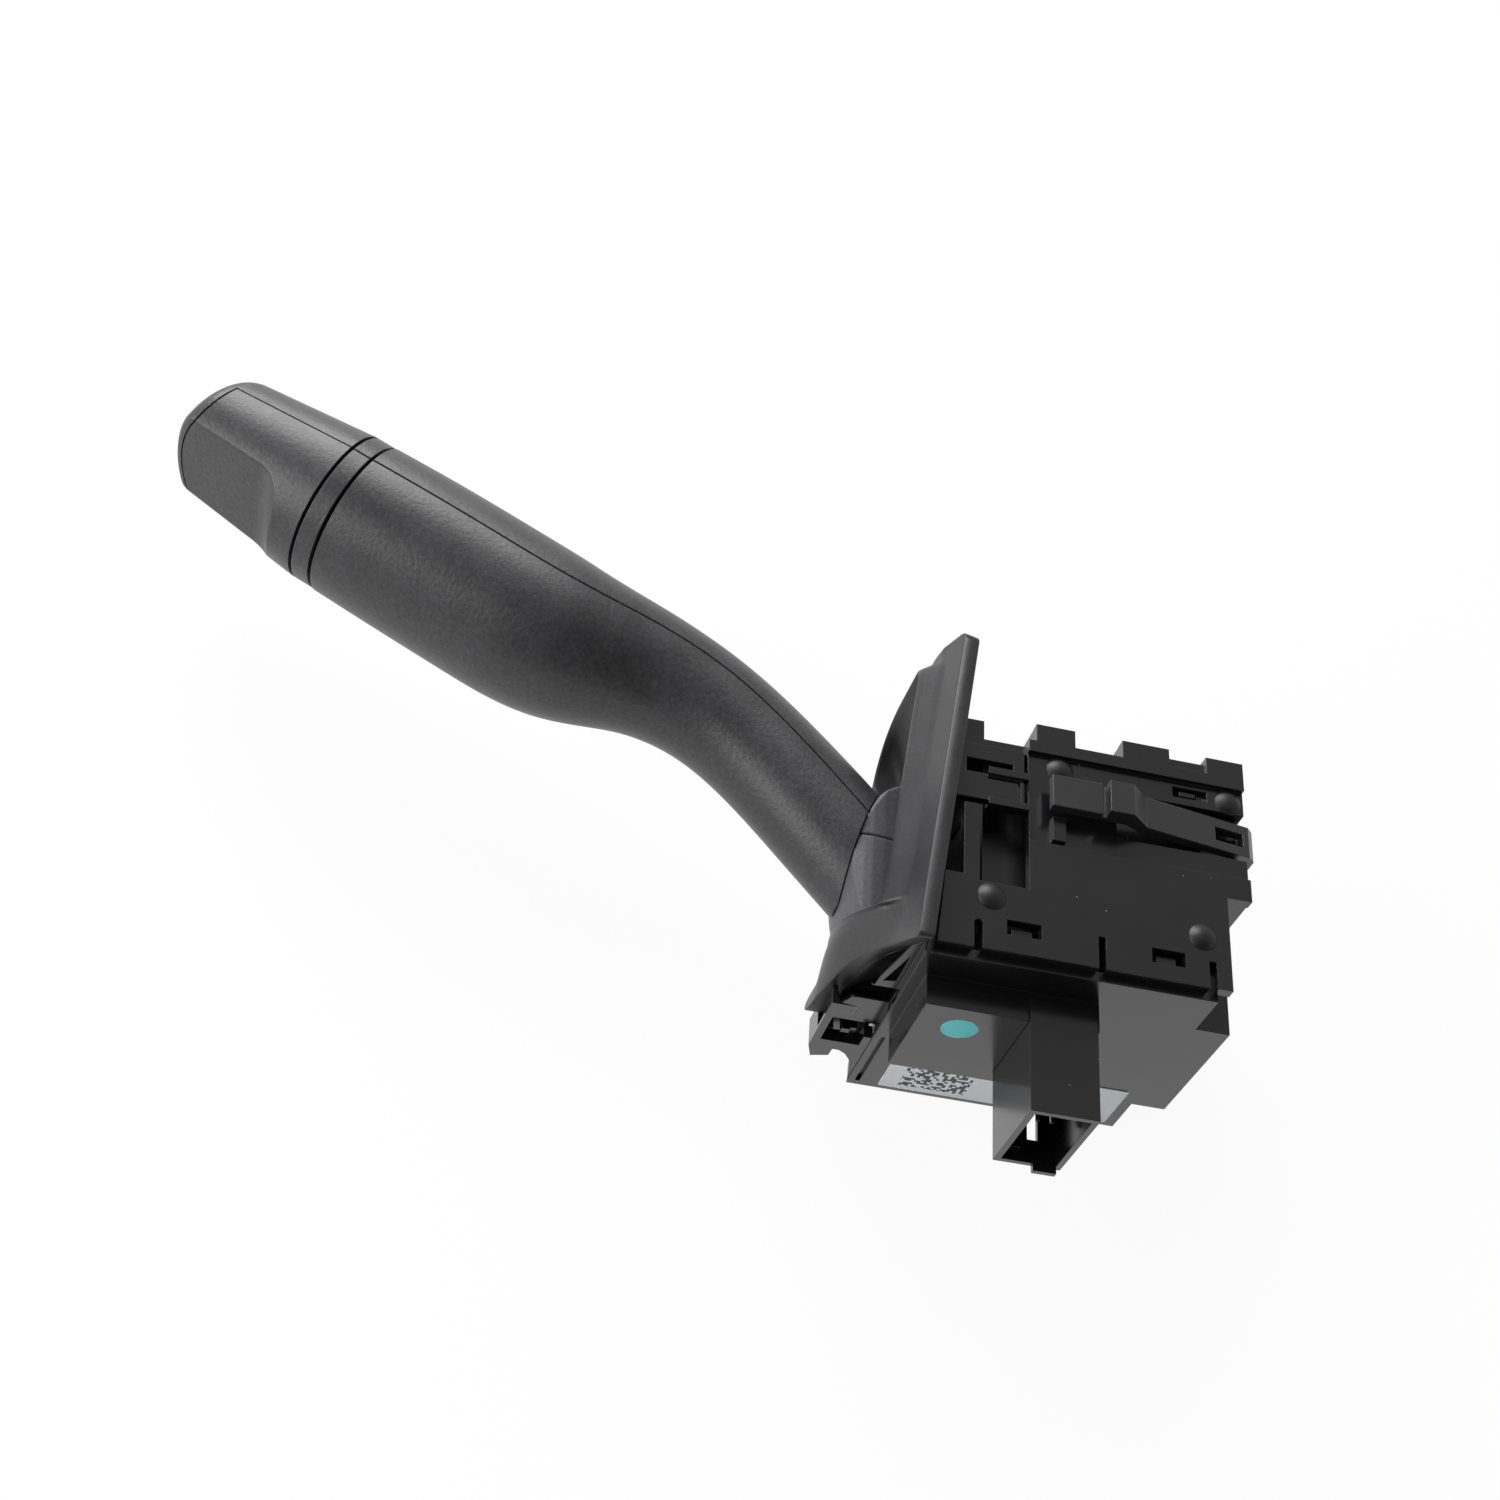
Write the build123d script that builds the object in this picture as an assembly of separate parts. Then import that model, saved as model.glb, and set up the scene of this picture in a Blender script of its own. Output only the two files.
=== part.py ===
from build123d import *
import os
from math import cos, radians, sin, sqrt

# Combination stalk switch of a steering column, in millimetres.
# +Z is the normal of the domed cover, -X points along the stalk, -Y points to the connector.
# The origin is the centre of the housing's rear mounting face.

# Housing
FRONT = 52.0            # cover's front face above the mounting face
WALL = 1.8              # moulded wall
PLATE = 2.0             # cover plate
LEFT, RIGHT = -25.8, 25.5
BOTTOM, TOP = -22.6, 22.6
REAR_STEP = 9.8         # rear face of the right-hand block
SIDE_RIGHT = 31.8       # right-hand face of the right-hand block
SIDE_FRONT = 40.0       # front face of its lower part
SHOULDER_Y = -2.7       # lower end of the upper right-hand block
CREST_Y = 26.5          # top of the guide blocks
GUIDE_DEPTH = 9.0       # guide blocks' depth behind the front face
PAD_DROP = 5.6          # the pad stands this far below the base
LEDGE_Z = 42.8          # front of the pad

# Connector
TOWER_X = (-5.4, 6.6)
TOWER_Z = (23.2, 43.2)
TOWER_FOOT = -44.8
TOWER_WALL = 1.1
PIN = 0.64              # square terminal
PIN_PITCH = 2.54
PIN_ROWS = (29.4, 34.4)
PIN_COLUMNS = 3

# Lever pivot: the pin along Z and the trunnions along Y cross here
PIVOT = Vector(-10.0, 1.0, 32.0)
PIN_R = 2.5
TRUNNION_R = 3.0
RUNNING = 0.06          # radial running clearance
DOME_CENTRE = Vector(-10.0, -1.5, 32.0)
DOME_R = 27.6           # ball surface of the collar
DOME_WALL = 2.2
BALL_GAP = 0.25         # between the collar's ball and the arm

# Stalk: centre line points (x, y) at the pivot's height, with the half height there
CENTRE_LINE = (
    (-29.6, 0.5, 10.85), (-40.1, 11.3, 10.8), (-50.9, 21.85, 10.65), (-62.8, 31.0, 10.95),
    (-76.7, 36.9, 12.45), (-91.2, 40.3, 14.95), (-105.0, 46.1, 15.5), (-118.6, 52.6, 15.4),
    (-132.2, 58.95, 15.05),
)
STATION_COUNT = 16
ROOT_FLATNESS = 0.86    # half depth over half height at the root, 1 at the ring
ARM_WALL = 2.0
SPLIT_N = 2.6           # the face shell begins this far off the centre line
SEAM = 0.12             # half of the seam's width
STALK_SLOPE = 25.4      # degrees above -X at the outer end

# Outer end of the stalk
RING_GAP = 0.3
RING_WIDTH = 4.2
KNOB_R = 14.95
KNOB_END_R = 11.6       # barrel's radius if it ran on to the tip
KNOB_FAR = 37.2
KNOB_FLAT = 8.7         # grip flat's distance from the axis where it starts
FLAT_TILT = 4.9         # degrees that the flat closes in on the axis towards the tip
FLAT_TURN = 2.0         # degrees that it is turned about the axis
SCOOP_S = 16.3          # the flat starts here and scoops out towards the ring
SCOOP_R = 6.6
END_CENTRE = (-3.9, 0.2, 12.6)   # ball of the knob's end: to the face side, to -Z, along the axis
END_R = 23.0
CAP = 1.5               # the end cap's rim along the axis
SHELL = 2.2
NOSE_R = 7.0
SPINDLE_R = 4.0

# Bezel
BEZEL_TILT = 6.6        # its near edge leans off Y
BEZEL_FOOT = (-28.3, -22.1)
BEZEL_WALL = 2.2

OUTER_END = Plane(
    origin=(-131.42, 58.635, PIVOT.Z),
    x_dir=(sin(radians(STALK_SLOPE)), cos(radians(STALK_SLOPE)), 0),
    z_dir=(-cos(radians(STALK_SLOPE)), sin(radians(STALK_SLOPE)), 0),
)

parts = {}


def block(x, y, z):
    """Box between two x, two y and two z values."""
    size = (x[1] - x[0], y[1] - y[0], z[1] - z[0])
    return Pos(x[0], y[0], z[0]) * Box(*size, align=(Align.MIN,) * 3)


def rod(start, end, radius):
    """Round rod between two points."""
    start = Vector(*start)
    along = Vector(*end) - start
    return Plane(origin=start, z_dir=along) * Cylinder(
        radius, along.length, align=(Align.CENTER, Align.CENTER, Align.MIN)
    )


def prism_z(points, z):
    """Polygon in XY carried from one z to another."""
    face = make_face(Polyline(*[(x, y, z[0]) for x, y in points], close=True))
    return extrude(face, z[1] - z[0], dir=(0, 0, 1))


def prism_y(points, y):
    """Polygon in XZ carried from one y to another."""
    face = make_face(Polyline(*[(x, y[0], z) for x, z in points], close=True))
    return extrude(face, y[1] - y[0], dir=(0, 1, 0))


def group(solids):
    """Separate solids that share one node."""
    return Compound(children=list(solids))


def solid_of(shape):
    """The largest solid of a cut shape."""
    return max(shape.solids(), key=lambda s: s.volume)


# Housing base

def left_face(y):
    """The housing's left face leans with the bezel."""
    return LEFT + (y - BOTTOM) * 0.1157


STAKES = ((-15.1, -11.0), (22.5, -11.6), (29.2, 18.0), (-2.3, 18.2))
RECESS = 1.0            # depth of the zone under the latch
STAKE_FOOT = 46.6       # lower end of the stakes' stems
DOME_BALL = 4.0         # the formed heads are caps of this ball
DOME_SINK = 3.05        # whose centre lies this far below the seat
CHANNEL = ((6.4, 32.1), (4.9, 17.1))
CHANNEL_FLOOR = 45.4


def make_base():
    sides = [(left_face(BOTTOM), BOTTOM), (RIGHT, BOTTOM), (RIGHT, TOP), (left_face(TOP), TOP)]
    body = prism_z(sides, (0, FRONT - PLATE))
    body += block((RIGHT - 1, SIDE_RIGHT), (BOTTOM, TOP), (REAR_STEP, SIDE_FRONT))
    body += block((RIGHT - 1, SIDE_RIGHT), (SHOULDER_Y, TOP), (SIDE_FRONT - 1, FRONT - PLATE))
    body += block((-23.4, 7.0), (BOTTOM - PAD_DROP, BOTTOM + 1), (20.0, LEDGE_Z))
    for x in ((-19.4, -15.9), (-6.8, 0.4), (9.3, 18.1), (25.1, SIDE_RIGHT)):
        body += block(x, (TOP - 1, CREST_Y), (FRONT - GUIDE_DEPTH, FRONT - PLATE))
    low, high = BOTTOM + WALL, TOP - WALL
    cavity = [(left_face(low) + WALL, low), (RIGHT - WALL, low),
              (RIGHT - WALL, high), (left_face(high) + WALL, high)]
    body -= prism_z(cavity, (2.0, FRONT))
    body -= block((RIGHT, SIDE_RIGHT - WALL), (low, high), (REAR_STEP + WALL, SIDE_FRONT - WALL))
    body -= block((-21.6, -9.0), (BOTTOM - PAD_DROP + WALL, BOTTOM), (21.8, LEDGE_Z - WALL))
    # lever window in the left wall
    body -= block((LEFT - 1, -19.0), (-15.5, 19.5), (16.5, FRONT))
    # terminals' passage to the connector
    body -= block((-3.6, 4.8), (BOTTOM - PAD_DROP - 1, BOTTOM + WALL + 1), (26.0, 38.0))
    # socket of the connector tower, open to the pad's front
    body -= block((TOWER_X[0] - 0.05, TOWER_X[1] + 0.05), (BOTTOM - PAD_DROP - 1, BOTTOM - 1.4),
                  (TOWER_Z[0] - 0.05, LEDGE_Z + 1))
    # guide slot beside the label
    body -= block((-24.6, -23.7), (BOTTOM - 1, BOTTOM + 0.8), (1.5, 19.0))
    # posts under the stakes, and room for the latch's channel
    body += block((19.8, RIGHT - 1), (-13.4, -9.8), (44.0, 48.0))
    body += block((-4.4, -0.2), (16.2, TOP - 1), (44.0, 48.0))
    body += block((left_face(-11.0) + 1, -13.1), (-13.0, -9.0), (46.6, 49.0))
    for x, y in STAKES:
        body -= rod((x, y, STAKE_FOOT - 0.2), (x, y, FRONT + 1), 1.25)
    body -= block((CHANNEL[0][0] - 0.3, 33.0), (CHANNEL[1][0] - 0.3, CHANNEL[1][1] + 0.3),
                  (CHANNEL_FLOOR - 0.3, FRONT + 1))
    return solid_of(body)


def make_cover():
    outline = [(-24.4, -21.2), (27.5, -21.2), (27.5, SHOULDER_Y), (32.1, SHOULDER_Y),
               (32.1, 23.0), (-8.2, 23.0), (-8.2, 7.2), (-21.9, 7.2)]
    body = prism_z(outline, (FRONT - PLATE, FRONT))
    for x, y in (((-6.8, 0.4), 26.6), ((9.3, 18.1), 26.6), ((25.1, 32.1), 26.4)):
        body += block(x, (TOP, y), (FRONT - PLATE, FRONT))
    body += block((18.3, 25.2), (TOP, 25.0), (FRONT - PLATE, FRONT - 0.6))
    # recessed zone under the latch, and its channel
    body -= block((-8.3, 33.0), (1.8, 20.6), (FRONT - RECESS, FRONT + 1))
    body -= block((8.0, 33.0), (6.2, 15.8), (FRONT - PLATE - 1, FRONT + 1))
    channel = block(*CHANNEL, (CHANNEL_FLOOR, FRONT - RECESS))
    channel -= block((8.0, 33.0), (6.2, 15.8), (CHANNEL_FLOOR + 1.4, FRONT))
    body += channel
    # windows over the snap hooks
    for x, y in (((-12.4, -6.3), (-17.8, -15.0)), ((13.2, 19.2), (-18.2, -15.4)),
                 ((18.8, 25.2), (17.3, 19.4))):
        body -= block(x, y, (45.0, FRONT + 1))
    # openings beside the bezel
    body -= block((-17.2, -8.4), (-8.2, 8.0), (45.0, FRONT + 1))
    body -= block((-23.4, -20.0), (-7.4, 8.0), (45.0, FRONT + 1))
    # relief slots in the lower edge
    for x, y in (((-18.1, -16.6), -16.6), ((3.7, 5.0), -15.1), ((23.4, 24.8), -16.1)):
        body -= block(x, (-25.0, y), (FRONT - PLATE - 5, FRONT + 1))
    body -= Pos(-17.35, -16.6, FRONT) * Cylinder(0.75, 12)
    # rib that guides the latch
    body += block((-4.2, -1.8), (2.4, 7.2), (FRONT - RECESS, FRONT + 0.4))
    for x, y in STAKES:
        body -= rod((x, y, STAKE_FOOT), (x, y, FRONT + 1), 1.25)
    return solid_of(body)


def make_stakes():
    """Heat-formed domes on the base's stakes."""
    stakes = []
    for x, y in STAKES:
        seat = FRONT if y < 1.8 else FRONT - RECESS
        cap = Pos(x, y, seat - DOME_SINK) * Sphere(DOME_BALL)
        cap = cap & block((x - 3, x + 3), (y - 3, y + 3), (seat, seat + 2))
        stakes.append(cap + rod((x, y, STAKE_FOOT), (x, y, seat + 0.2), 1.2))
    return group([solid_of(s) for s in stakes])


def make_hooks():
    """Snap hooks behind the cover's three windows, standing on the base's walls."""
    hooks = []
    for x in ((-11.2, -7.5), (14.4, 18.0)):
        hook = block(x, (BOTTOM + WALL, -16.2), (46.8, 48.4))
        hook += block(x, (-17.2, -16.2), (46.8, FRONT - 1.4))
        hook += block(x, (-17.6, -15.8), (FRONT - 2.6, FRONT - 1.4))
        hooks.append(hook)
    hook = block((20.2, 23.2), (17.9, TOP - WALL), (46.0, 47.6))
    hook += block((20.2, 23.2), (17.9, 18.8), (46.0, FRONT - 1.4))
    hooks.append(hook)
    return group([solid_of(h) for h in hooks])


# Connector

def make_tower():
    tower = block(TOWER_X, (TOWER_FOOT, BOTTOM - 1.5), TOWER_Z)
    inner_x = (TOWER_X[0] + TOWER_WALL, TOWER_X[1] - TOWER_WALL)
    inner_z = (TOWER_Z[0] + TOWER_WALL, TOWER_Z[1] - TOWER_WALL)
    tower -= block(inner_x, (TOWER_FOOT - 1, BOTTOM - PAD_DROP), inner_z)
    for row in PIN_ROWS:
        for i in range(PIN_COLUMNS):
            x = 0.6 + (i - 1) * PIN_PITCH
            tower -= block((x - PIN / 2, x + PIN / 2), (BOTTOM - PAD_DROP - 1, BOTTOM),
                           (row - PIN / 2, row + PIN / 2))
    # keyway through the rear wall and key tab on the lower rim
    tower -= block((0.4, 2.3), (-40.5, -31.0), (TOWER_Z[0] - 1, inner_z[0] + 1))
    tower += block((1.4, 5.6), (TOWER_FOOT - 1.3, TOWER_FOOT + 3), (TOWER_Z[0], inner_z[0]))
    tower += block((-2.8, -1.0), (TOWER_FOOT + 2, BOTTOM - PAD_DROP), (inner_z[0], inner_z[0] + 1.2))
    return solid_of(tower)


def make_pins():
    pins = []
    for row in PIN_ROWS:
        for i in range(PIN_COLUMNS):
            x = 0.6 + (i - 1) * PIN_PITCH
            pin = block((x - PIN / 2, x + PIN / 2), (TOWER_FOOT + 5.5, BOTTOM + 5.2),
                        (row - PIN / 2, row + PIN / 2))
            pins.append(pin)
    return group(pins)


BOARD_Y = (-20.4, -18.8)
TRACK = 0.12


def make_board():
    board = block((-23.0, 23.0), BOARD_Y, (3.0, 46.0))
    for row in PIN_ROWS:
        for i in range(PIN_COLUMNS):
            x = 0.6 + (i - 1) * PIN_PITCH
            board -= block((x - PIN / 2, x + PIN / 2), (-22, -18), (row - PIN / 2, row + PIN / 2))
    return solid_of(board)


def make_tracks():
    """Contact arcs on the board, swept by the turn wiper."""
    arcs = []
    for radius in (16.0, 19.0, 22.0):
        ring = Cylinder(radius + 0.9, TRACK) - Cylinder(radius - 0.9, TRACK)
        ring = Pos(PIVOT.X, BOARD_Y[1] + TRACK / 2, PIVOT.Z) * Rot(90, 0, 0) * ring
        wedge = block((PIVOT.X + 8.0, PIVOT.X + 30), (BOARD_Y[1], BOARD_Y[1] + TRACK), (10.0, 27.9))
        arcs.append(solid_of(ring & wedge))
    return group(arcs)


# Gimbal

def make_pivot_frame():
    frame = block((-15.0, -5.0), (-17.4, TOP - WALL), (16.0, 46.4))
    frame -= block((-16.0, -4.0), (-13.7, 15.7), (18.4, 45.2))
    frame -= rod((PIVOT.X, -30, PIVOT.Z), (PIVOT.X, 30, PIVOT.Z), TRUNNION_R + RUNNING)
    return solid_of(frame)


def make_yoke():
    """Gimbal ring that turns about Y, with its detent arm and its wiper arm."""
    yoke = block((-14.8, -5.2), (-13.0, 15.0), (21.4, 42.6))
    yoke -= block((-16.0, -4.0), (-9.6, 11.6), (24.2, 39.8))
    yoke += rod((PIVOT.X, 14.9, PIVOT.Z), (PIVOT.X, 19.8, PIVOT.Z), TRUNNION_R)
    yoke += rod((PIVOT.X, -12.9, PIVOT.Z), (PIVOT.X, -17.0, PIVOT.Z), TRUNNION_R)
    yoke -= rod((PIVOT.X, PIVOT.Y, 10), (PIVOT.X, PIVOT.Y, 60), PIN_R)
    yoke += block((-5.4, 14.5), (11.8, 15.0), (28.6, 35.4))
    yoke += block((-4.0, 14.5), (11.8, 18.2), (28.6, 35.4))
    yoke -= rod((3.0, 15.0, PIVOT.Z), (15.0, 15.0, PIVOT.Z), 1.8 + RUNNING)
    yoke += block((-5.4, 3.8), (-13.0, -10.6), (22.5, 27.5))
    return solid_of(yoke)


def make_pivot_pin():
    return rod((PIVOT.X, PIVOT.Y, 21.2), (PIVOT.X, PIVOT.Y, 42.8), PIN_R)


def make_turn_wiper():
    """Sprung contact bridge under the yoke's arm."""
    wiper = block((3.9, 5.0), (-13.0, -10.6), (22.0, 27.4))
    wiper += block((3.9, 13.4), (-13.5, -13.0), (22.0, 27.4))
    for radius in (16.0, 19.0, 22.0):
        x = PIVOT.X + sqrt(radius ** 2 - 7.3 ** 2)
        wiper += block((x - 0.7, x + 0.7), (BOARD_Y[1] + TRACK + 0.05, -13.2), (24.1, 25.3))
    return solid_of(wiper)


PLUNGER_TIP = 17.4


def make_detent_plunger():
    plunger = rod((8.0, 15.0, PIVOT.Z), (PLUNGER_TIP - 1.8, 15.0, PIVOT.Z), 1.8)
    plunger += Pos(PLUNGER_TIP - 1.8, 15.0, PIVOT.Z) * Sphere(1.8)
    return solid_of(plunger)


def coil(start, length, radius, wire, turns):
    """Compression spring along +X."""
    path = Helix(pitch=length / turns, height=length, radius=radius)
    section = Plane(origin=path @ 0, z_dir=path % 0) * Circle(wire)
    spring = sweep(section, path=path, is_frenet=True)
    return Pos(*start) * Rot(0, 90, 0) * spring


def make_detent_track():
    """Fixed cam: a hollow about the pivot with five shallow notches."""
    reach = PLUNGER_TIP - PIVOT.X + 0.15
    track = block((16.0, RIGHT - WALL), (11.0, 19.0), (20.5, 43.5))
    bore = Pos(PIVOT.X, 15.0, PIVOT.Z) * Rot(90, 0, 0) * Cylinder(reach, 20)
    track -= bore
    for angle in (-7, -3.5, 0, 3.5, 7):
        a = radians(angle)
        notch = Pos(PIVOT.X + (reach - 0.9) * cos(a), 15.0, PIVOT.Z + (reach - 0.9) * sin(a))
        track -= notch * Rot(90, 0, 0) * Cylinder(1.9, 20)
    return solid_of(track)


# Lever inside the housing

FINGER_X = 8.0
FINGER_R = 1.8


def make_hub():
    hub = block((-15.4, -4.6), (-6.6, 8.6), (25.6, 38.4))
    hub = fillet(hub.edges().filter_by(Axis.Z), 3.0)
    hub += block((-30.0, -14.0), (-7.0, 9.0), (27.0, 37.0))
    hub -= rod((PIVOT.X, PIVOT.Y, 10), (PIVOT.X, PIVOT.Y, 60), PIN_R + RUNNING)
    hub += block((-5.0, FINGER_X), (-0.5, 2.5), (30.6, 33.4))
    hub += Pos(FINGER_X, PIVOT.Y, PIVOT.Z) * Cylinder(FINGER_R, 2.8)
    return solid_of(hub - round_core(CORE_R))


def make_slider():
    """Contact carriage that the lever's finger pushes along Y."""
    slider = block((10.9, 14.0), (-9.6, 9.0), (26.0, 38.0))
    slot = FINGER_R + 0.12
    slider += block((5.4, 11.0), (PIVOT.Y + slot, PIVOT.Y + slot + 2.2), (26.0, 38.0))
    slider += block((5.4, 11.0), (PIVOT.Y - slot - 2.2, PIVOT.Y - slot), (26.0, 38.0))
    return solid_of(slider)


def make_slider_guide():
    """Fixed rails with the beam contacts behind the carriage."""
    guide = block((14.3, 17.4), (-11.8, 10.6), (24.0, 40.0))
    guide += block((11.4, 14.4), (-11.8, 10.6), (38.3, 40.0))
    guide += block((11.4, 14.4), (-11.8, 10.6), (24.0, 25.7))
    guide += block((17.3, RIGHT - WALL), (-11.8, -4.0), (24.0, 40.0))
    return solid_of(guide)


# Stalk arm

STALK_LINE = Spline(*CENTRE_LINE)


def station(t):
    """Plane across the stalk (x to the face side, y to -Z), half height and half depth."""
    point = STALK_LINE @ t
    run = STALK_LINE % t
    run = Vector(run.X, run.Y).normalized()
    plane = Plane(origin=(point.X, point.Y, PIVOT.Z), x_dir=(run.Y, -run.X, 0),
                  z_dir=(run.X, run.Y, 0))
    flatness = ROOT_FLATNESS + (1 - ROOT_FLATNESS) * min(1.0, t * 1.6)
    return plane, point.Z, point.Z * flatness


STATIONS = [station(i / (STATION_COUNT - 1)) for i in range(STATION_COUNT)]


def beyond_ring():
    """Everything past the ring's gap."""
    return OUTER_END.offset(-RING_GAP) * Box(80, 80, 40, align=(Align.CENTER, Align.CENTER, Align.MIN))


def arm_solid(inset):
    """Stalk from the collar's ball to the ring, drawn in by an inset."""
    arm = loft([plane * Ellipse(height - inset, depth - inset) for plane, height, depth in STATIONS])
    return arm - beyond_ring() - Pos(*DOME_CENTRE) * Sphere(DOME_R + BALL_GAP)


def round_core(radius):
    return loft([plane * Circle(radius) for plane, _, _ in STATIONS])


def split_region(face_side):
    """Region on one side of the stalk's parting surface."""
    line = []
    offset = SPLIT_N + (SEAM if face_side else -SEAM)
    for plane, _, _ in STATIONS:
        point = plane.origin + plane.x_dir * offset
        line.append((point.X, point.Y))
    first, last = line[0], line[-1]
    line.insert(0, (first[0] + 12.0, first[1] - 9.0))
    line.append((last[0] - 18.2, last[1] + 8.36))
    far = [(-200.0, 160.0), (20.0, 160.0)] if face_side else [(-200.0, -60.0), (20.0, -60.0)]
    return prism_z(line + far, (PIVOT.Z - 40, PIVOT.Z + 40))


def make_arm_shell(face_side):
    shell = arm_solid(0) - arm_solid(ARM_WALL)
    return solid_of(shell & split_region(face_side))


CORE_R = 5.0
BORE_R = 2.6


def make_arm_core():
    """Tube that carries the outer end, from the hub to the ring's nose."""
    nose = end_disc(NOSE_R, (-9, RING_WIDTH))
    flange = end_disc(KNOB_R - ARM_WALL - 0.6, (-9, -7))
    saddle = Pos(*DOME_CENTRE) * Sphere(DOME_R - DOME_WALL - 0.1)
    saddle = saddle & block((-38.0, -30.0), (-6.0, 11.0), (27.0, 37.0))
    core = round_core(CORE_R) - beyond_ring() + nose + flange + saddle
    core -= round_core(BORE_R) - beyond_ring()
    core -= end_disc(SPINDLE_R + RUNNING, (-7.5, 12))
    return solid_of(core)


def make_loom():
    """Bundle of wires inside the core."""
    stop = OUTER_END.offset(-12) * Box(80, 80, 40, align=(Align.CENTER, Align.CENTER, Align.MIN))
    return solid_of(round_core(BORE_R - 0.5) - stop)


# Collar

COLLAR_WALL = 1.7
COLLAR_SEAM_Y = 4.4
COLLAR_END = -26.0
# Collar's half depth along X, and its top and bottom edges
COLLAR_DEPTH = ((-44.0, 7.8), (-36.0, 8.4), (-34.5, 8.7), (-33.0, 8.8), (-31.0, 8.6), (-29.0, 8.2), (-25.0, 7.3))
COLLAR_TOP = ((-44.0, 4.0), (-36.0, 10.4), (-32.3, 13.4), (-29.0, 15.9), (-25.0, 18.2))
COLLAR_FOOT = ((-44.0, -9.0), (-25.0, -13.4))


def collar_form(radius, inset):
    """Ball bounded by a barrel-shaped neck that flares towards the housing."""
    depth = [(x, half - inset) for x, half in COLLAR_DEPTH]
    sides = [(x, PIVOT.Z + h) for x, h in depth] + [(x, PIVOT.Z - h) for x, h in reversed(depth)]
    edge = [(x, y - inset) for x, y in COLLAR_TOP] + [(x, y + inset) for x, y in reversed(COLLAR_FOOT)]
    form = prism_y(sides, (-30, 30)) & prism_z(edge, (10, 54))
    return form & Pos(*DOME_CENTRE) * Sphere(radius)


def make_collar(upper):
    shell = collar_form(DOME_R, 0) - collar_form(DOME_R - DOME_WALL, COLLAR_WALL) - round_core(CORE_R)
    if upper:
        shell = shell & block((-50, COLLAR_END), (COLLAR_SEAM_Y + SEAM, 40), (10, 54))
    else:
        shell = shell & block((-50, COLLAR_END), (-30, COLLAR_SEAM_Y - SEAM), (10, 54))
    return solid_of(shell)


# Ring

def end_disc(radius, z):
    return OUTER_END * Pos(0, 0, z[0]) * Cylinder(
        radius, z[1] - z[0], align=(Align.CENTER, Align.CENTER, Align.MIN))


def end_side(face_side, grow=60):
    """Half space of the outer end, on the face side or the rear side of the seam."""
    if face_side:
        box = Pos(SPLIT_N + SEAM, 0, 0) * Box(grow, grow, 90, align=(Align.MIN, Align.CENTER, Align.CENTER))
    else:
        box = Pos(SPLIT_N - SEAM, 0, 0) * Box(grow, grow, 90, align=(Align.MAX, Align.CENTER, Align.CENTER))
    return OUTER_END * box


def make_ring_half(face_side):
    z = (RING_GAP, RING_WIDTH - RING_GAP)
    ring = end_disc(KNOB_R, z) - end_disc(KNOB_R - SHELL, z)
    return solid_of(ring & end_side(face_side))


def make_ring_carrier():
    z = (0.8, RING_WIDTH - 0.8)
    return end_disc(KNOB_R - SHELL, z) - end_disc(NOSE_R + RUNNING, z)


# Knob

KNOB_START = RING_WIDTH + RING_GAP


def knob_form(inset):
    """Tapered barrel with a ball end and a grip flat that scoops out towards the ring."""
    radius = KNOB_R - inset
    profile = [(0, KNOB_START), (radius, KNOB_START), (KNOB_END_R - inset, KNOB_FAR), (0, KNOB_FAR)]
    form = revolve(make_face(Polyline(*[(x, 0, z) for x, z in profile], close=True)), Axis.Z)
    drop = CAP if inset else 0
    n, k, s = END_CENTRE
    form = form & Pos(n, k, s - drop) * Sphere(END_R)
    grip = Box(40, 60, 40, align=(Align.MAX, Align.CENTER, Align.MIN))
    grip += Pos(-SCOOP_R - inset, 0, 0) * Rot(90, 0, 0) * Cylinder(SCOOP_R + inset, 60)
    form -= Rot(0, 0, FLAT_TURN) * Pos(inset - KNOB_FLAT, 0, SCOOP_S) * Rot(0, FLAT_TILT, 0) * grip
    return OUTER_END * form


def under_cap(gap):
    """Region below the end cap's rim, less a gap."""
    n, k, s = END_CENTRE
    return OUTER_END * Pos(n, k, s - CAP - gap) * Sphere(END_R)


def make_knob_shell(face_side):
    mouth = end_disc(KNOB_R - SHELL, (KNOB_START - 1, KNOB_START + 2.0))
    shell = knob_form(0) - knob_form(SHELL) - mouth
    if face_side:
        half = (shell & end_side(True)) + (shell - under_cap(0))
    else:
        half = shell & end_side(False) & under_cap(2 * SEAM)
    return solid_of(half)


def make_knob_spindle():
    spindle = end_disc(KNOB_R - SHELL - 0.3, (KNOB_START, KNOB_START + 2.0))
    spindle += end_disc(SPINDLE_R, (-6.9, KNOB_START + 0.5))
    spindle += end_disc(5.4, (KNOB_START + 1.5, KNOB_START + 16.0))
    spindle -= end_disc(3.8, (KNOB_START + 2.0, KNOB_START + 17.0))
    return solid_of(spindle)


# Bezel

TILT = radians(BEZEL_TILT)
NORMAL = Vector(-cos(TILT), sin(TILT), 0)
ALONG = Vector(sin(TILT), cos(TILT), 0)


def bezel_point(along, height, z):
    """Point at a distance up the bezel's near edge and at a height over its plane."""
    p = Vector(*BEZEL_FOOT, 0) + ALONG * along + NORMAL * height
    return (p.X, p.Y, z)


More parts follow.
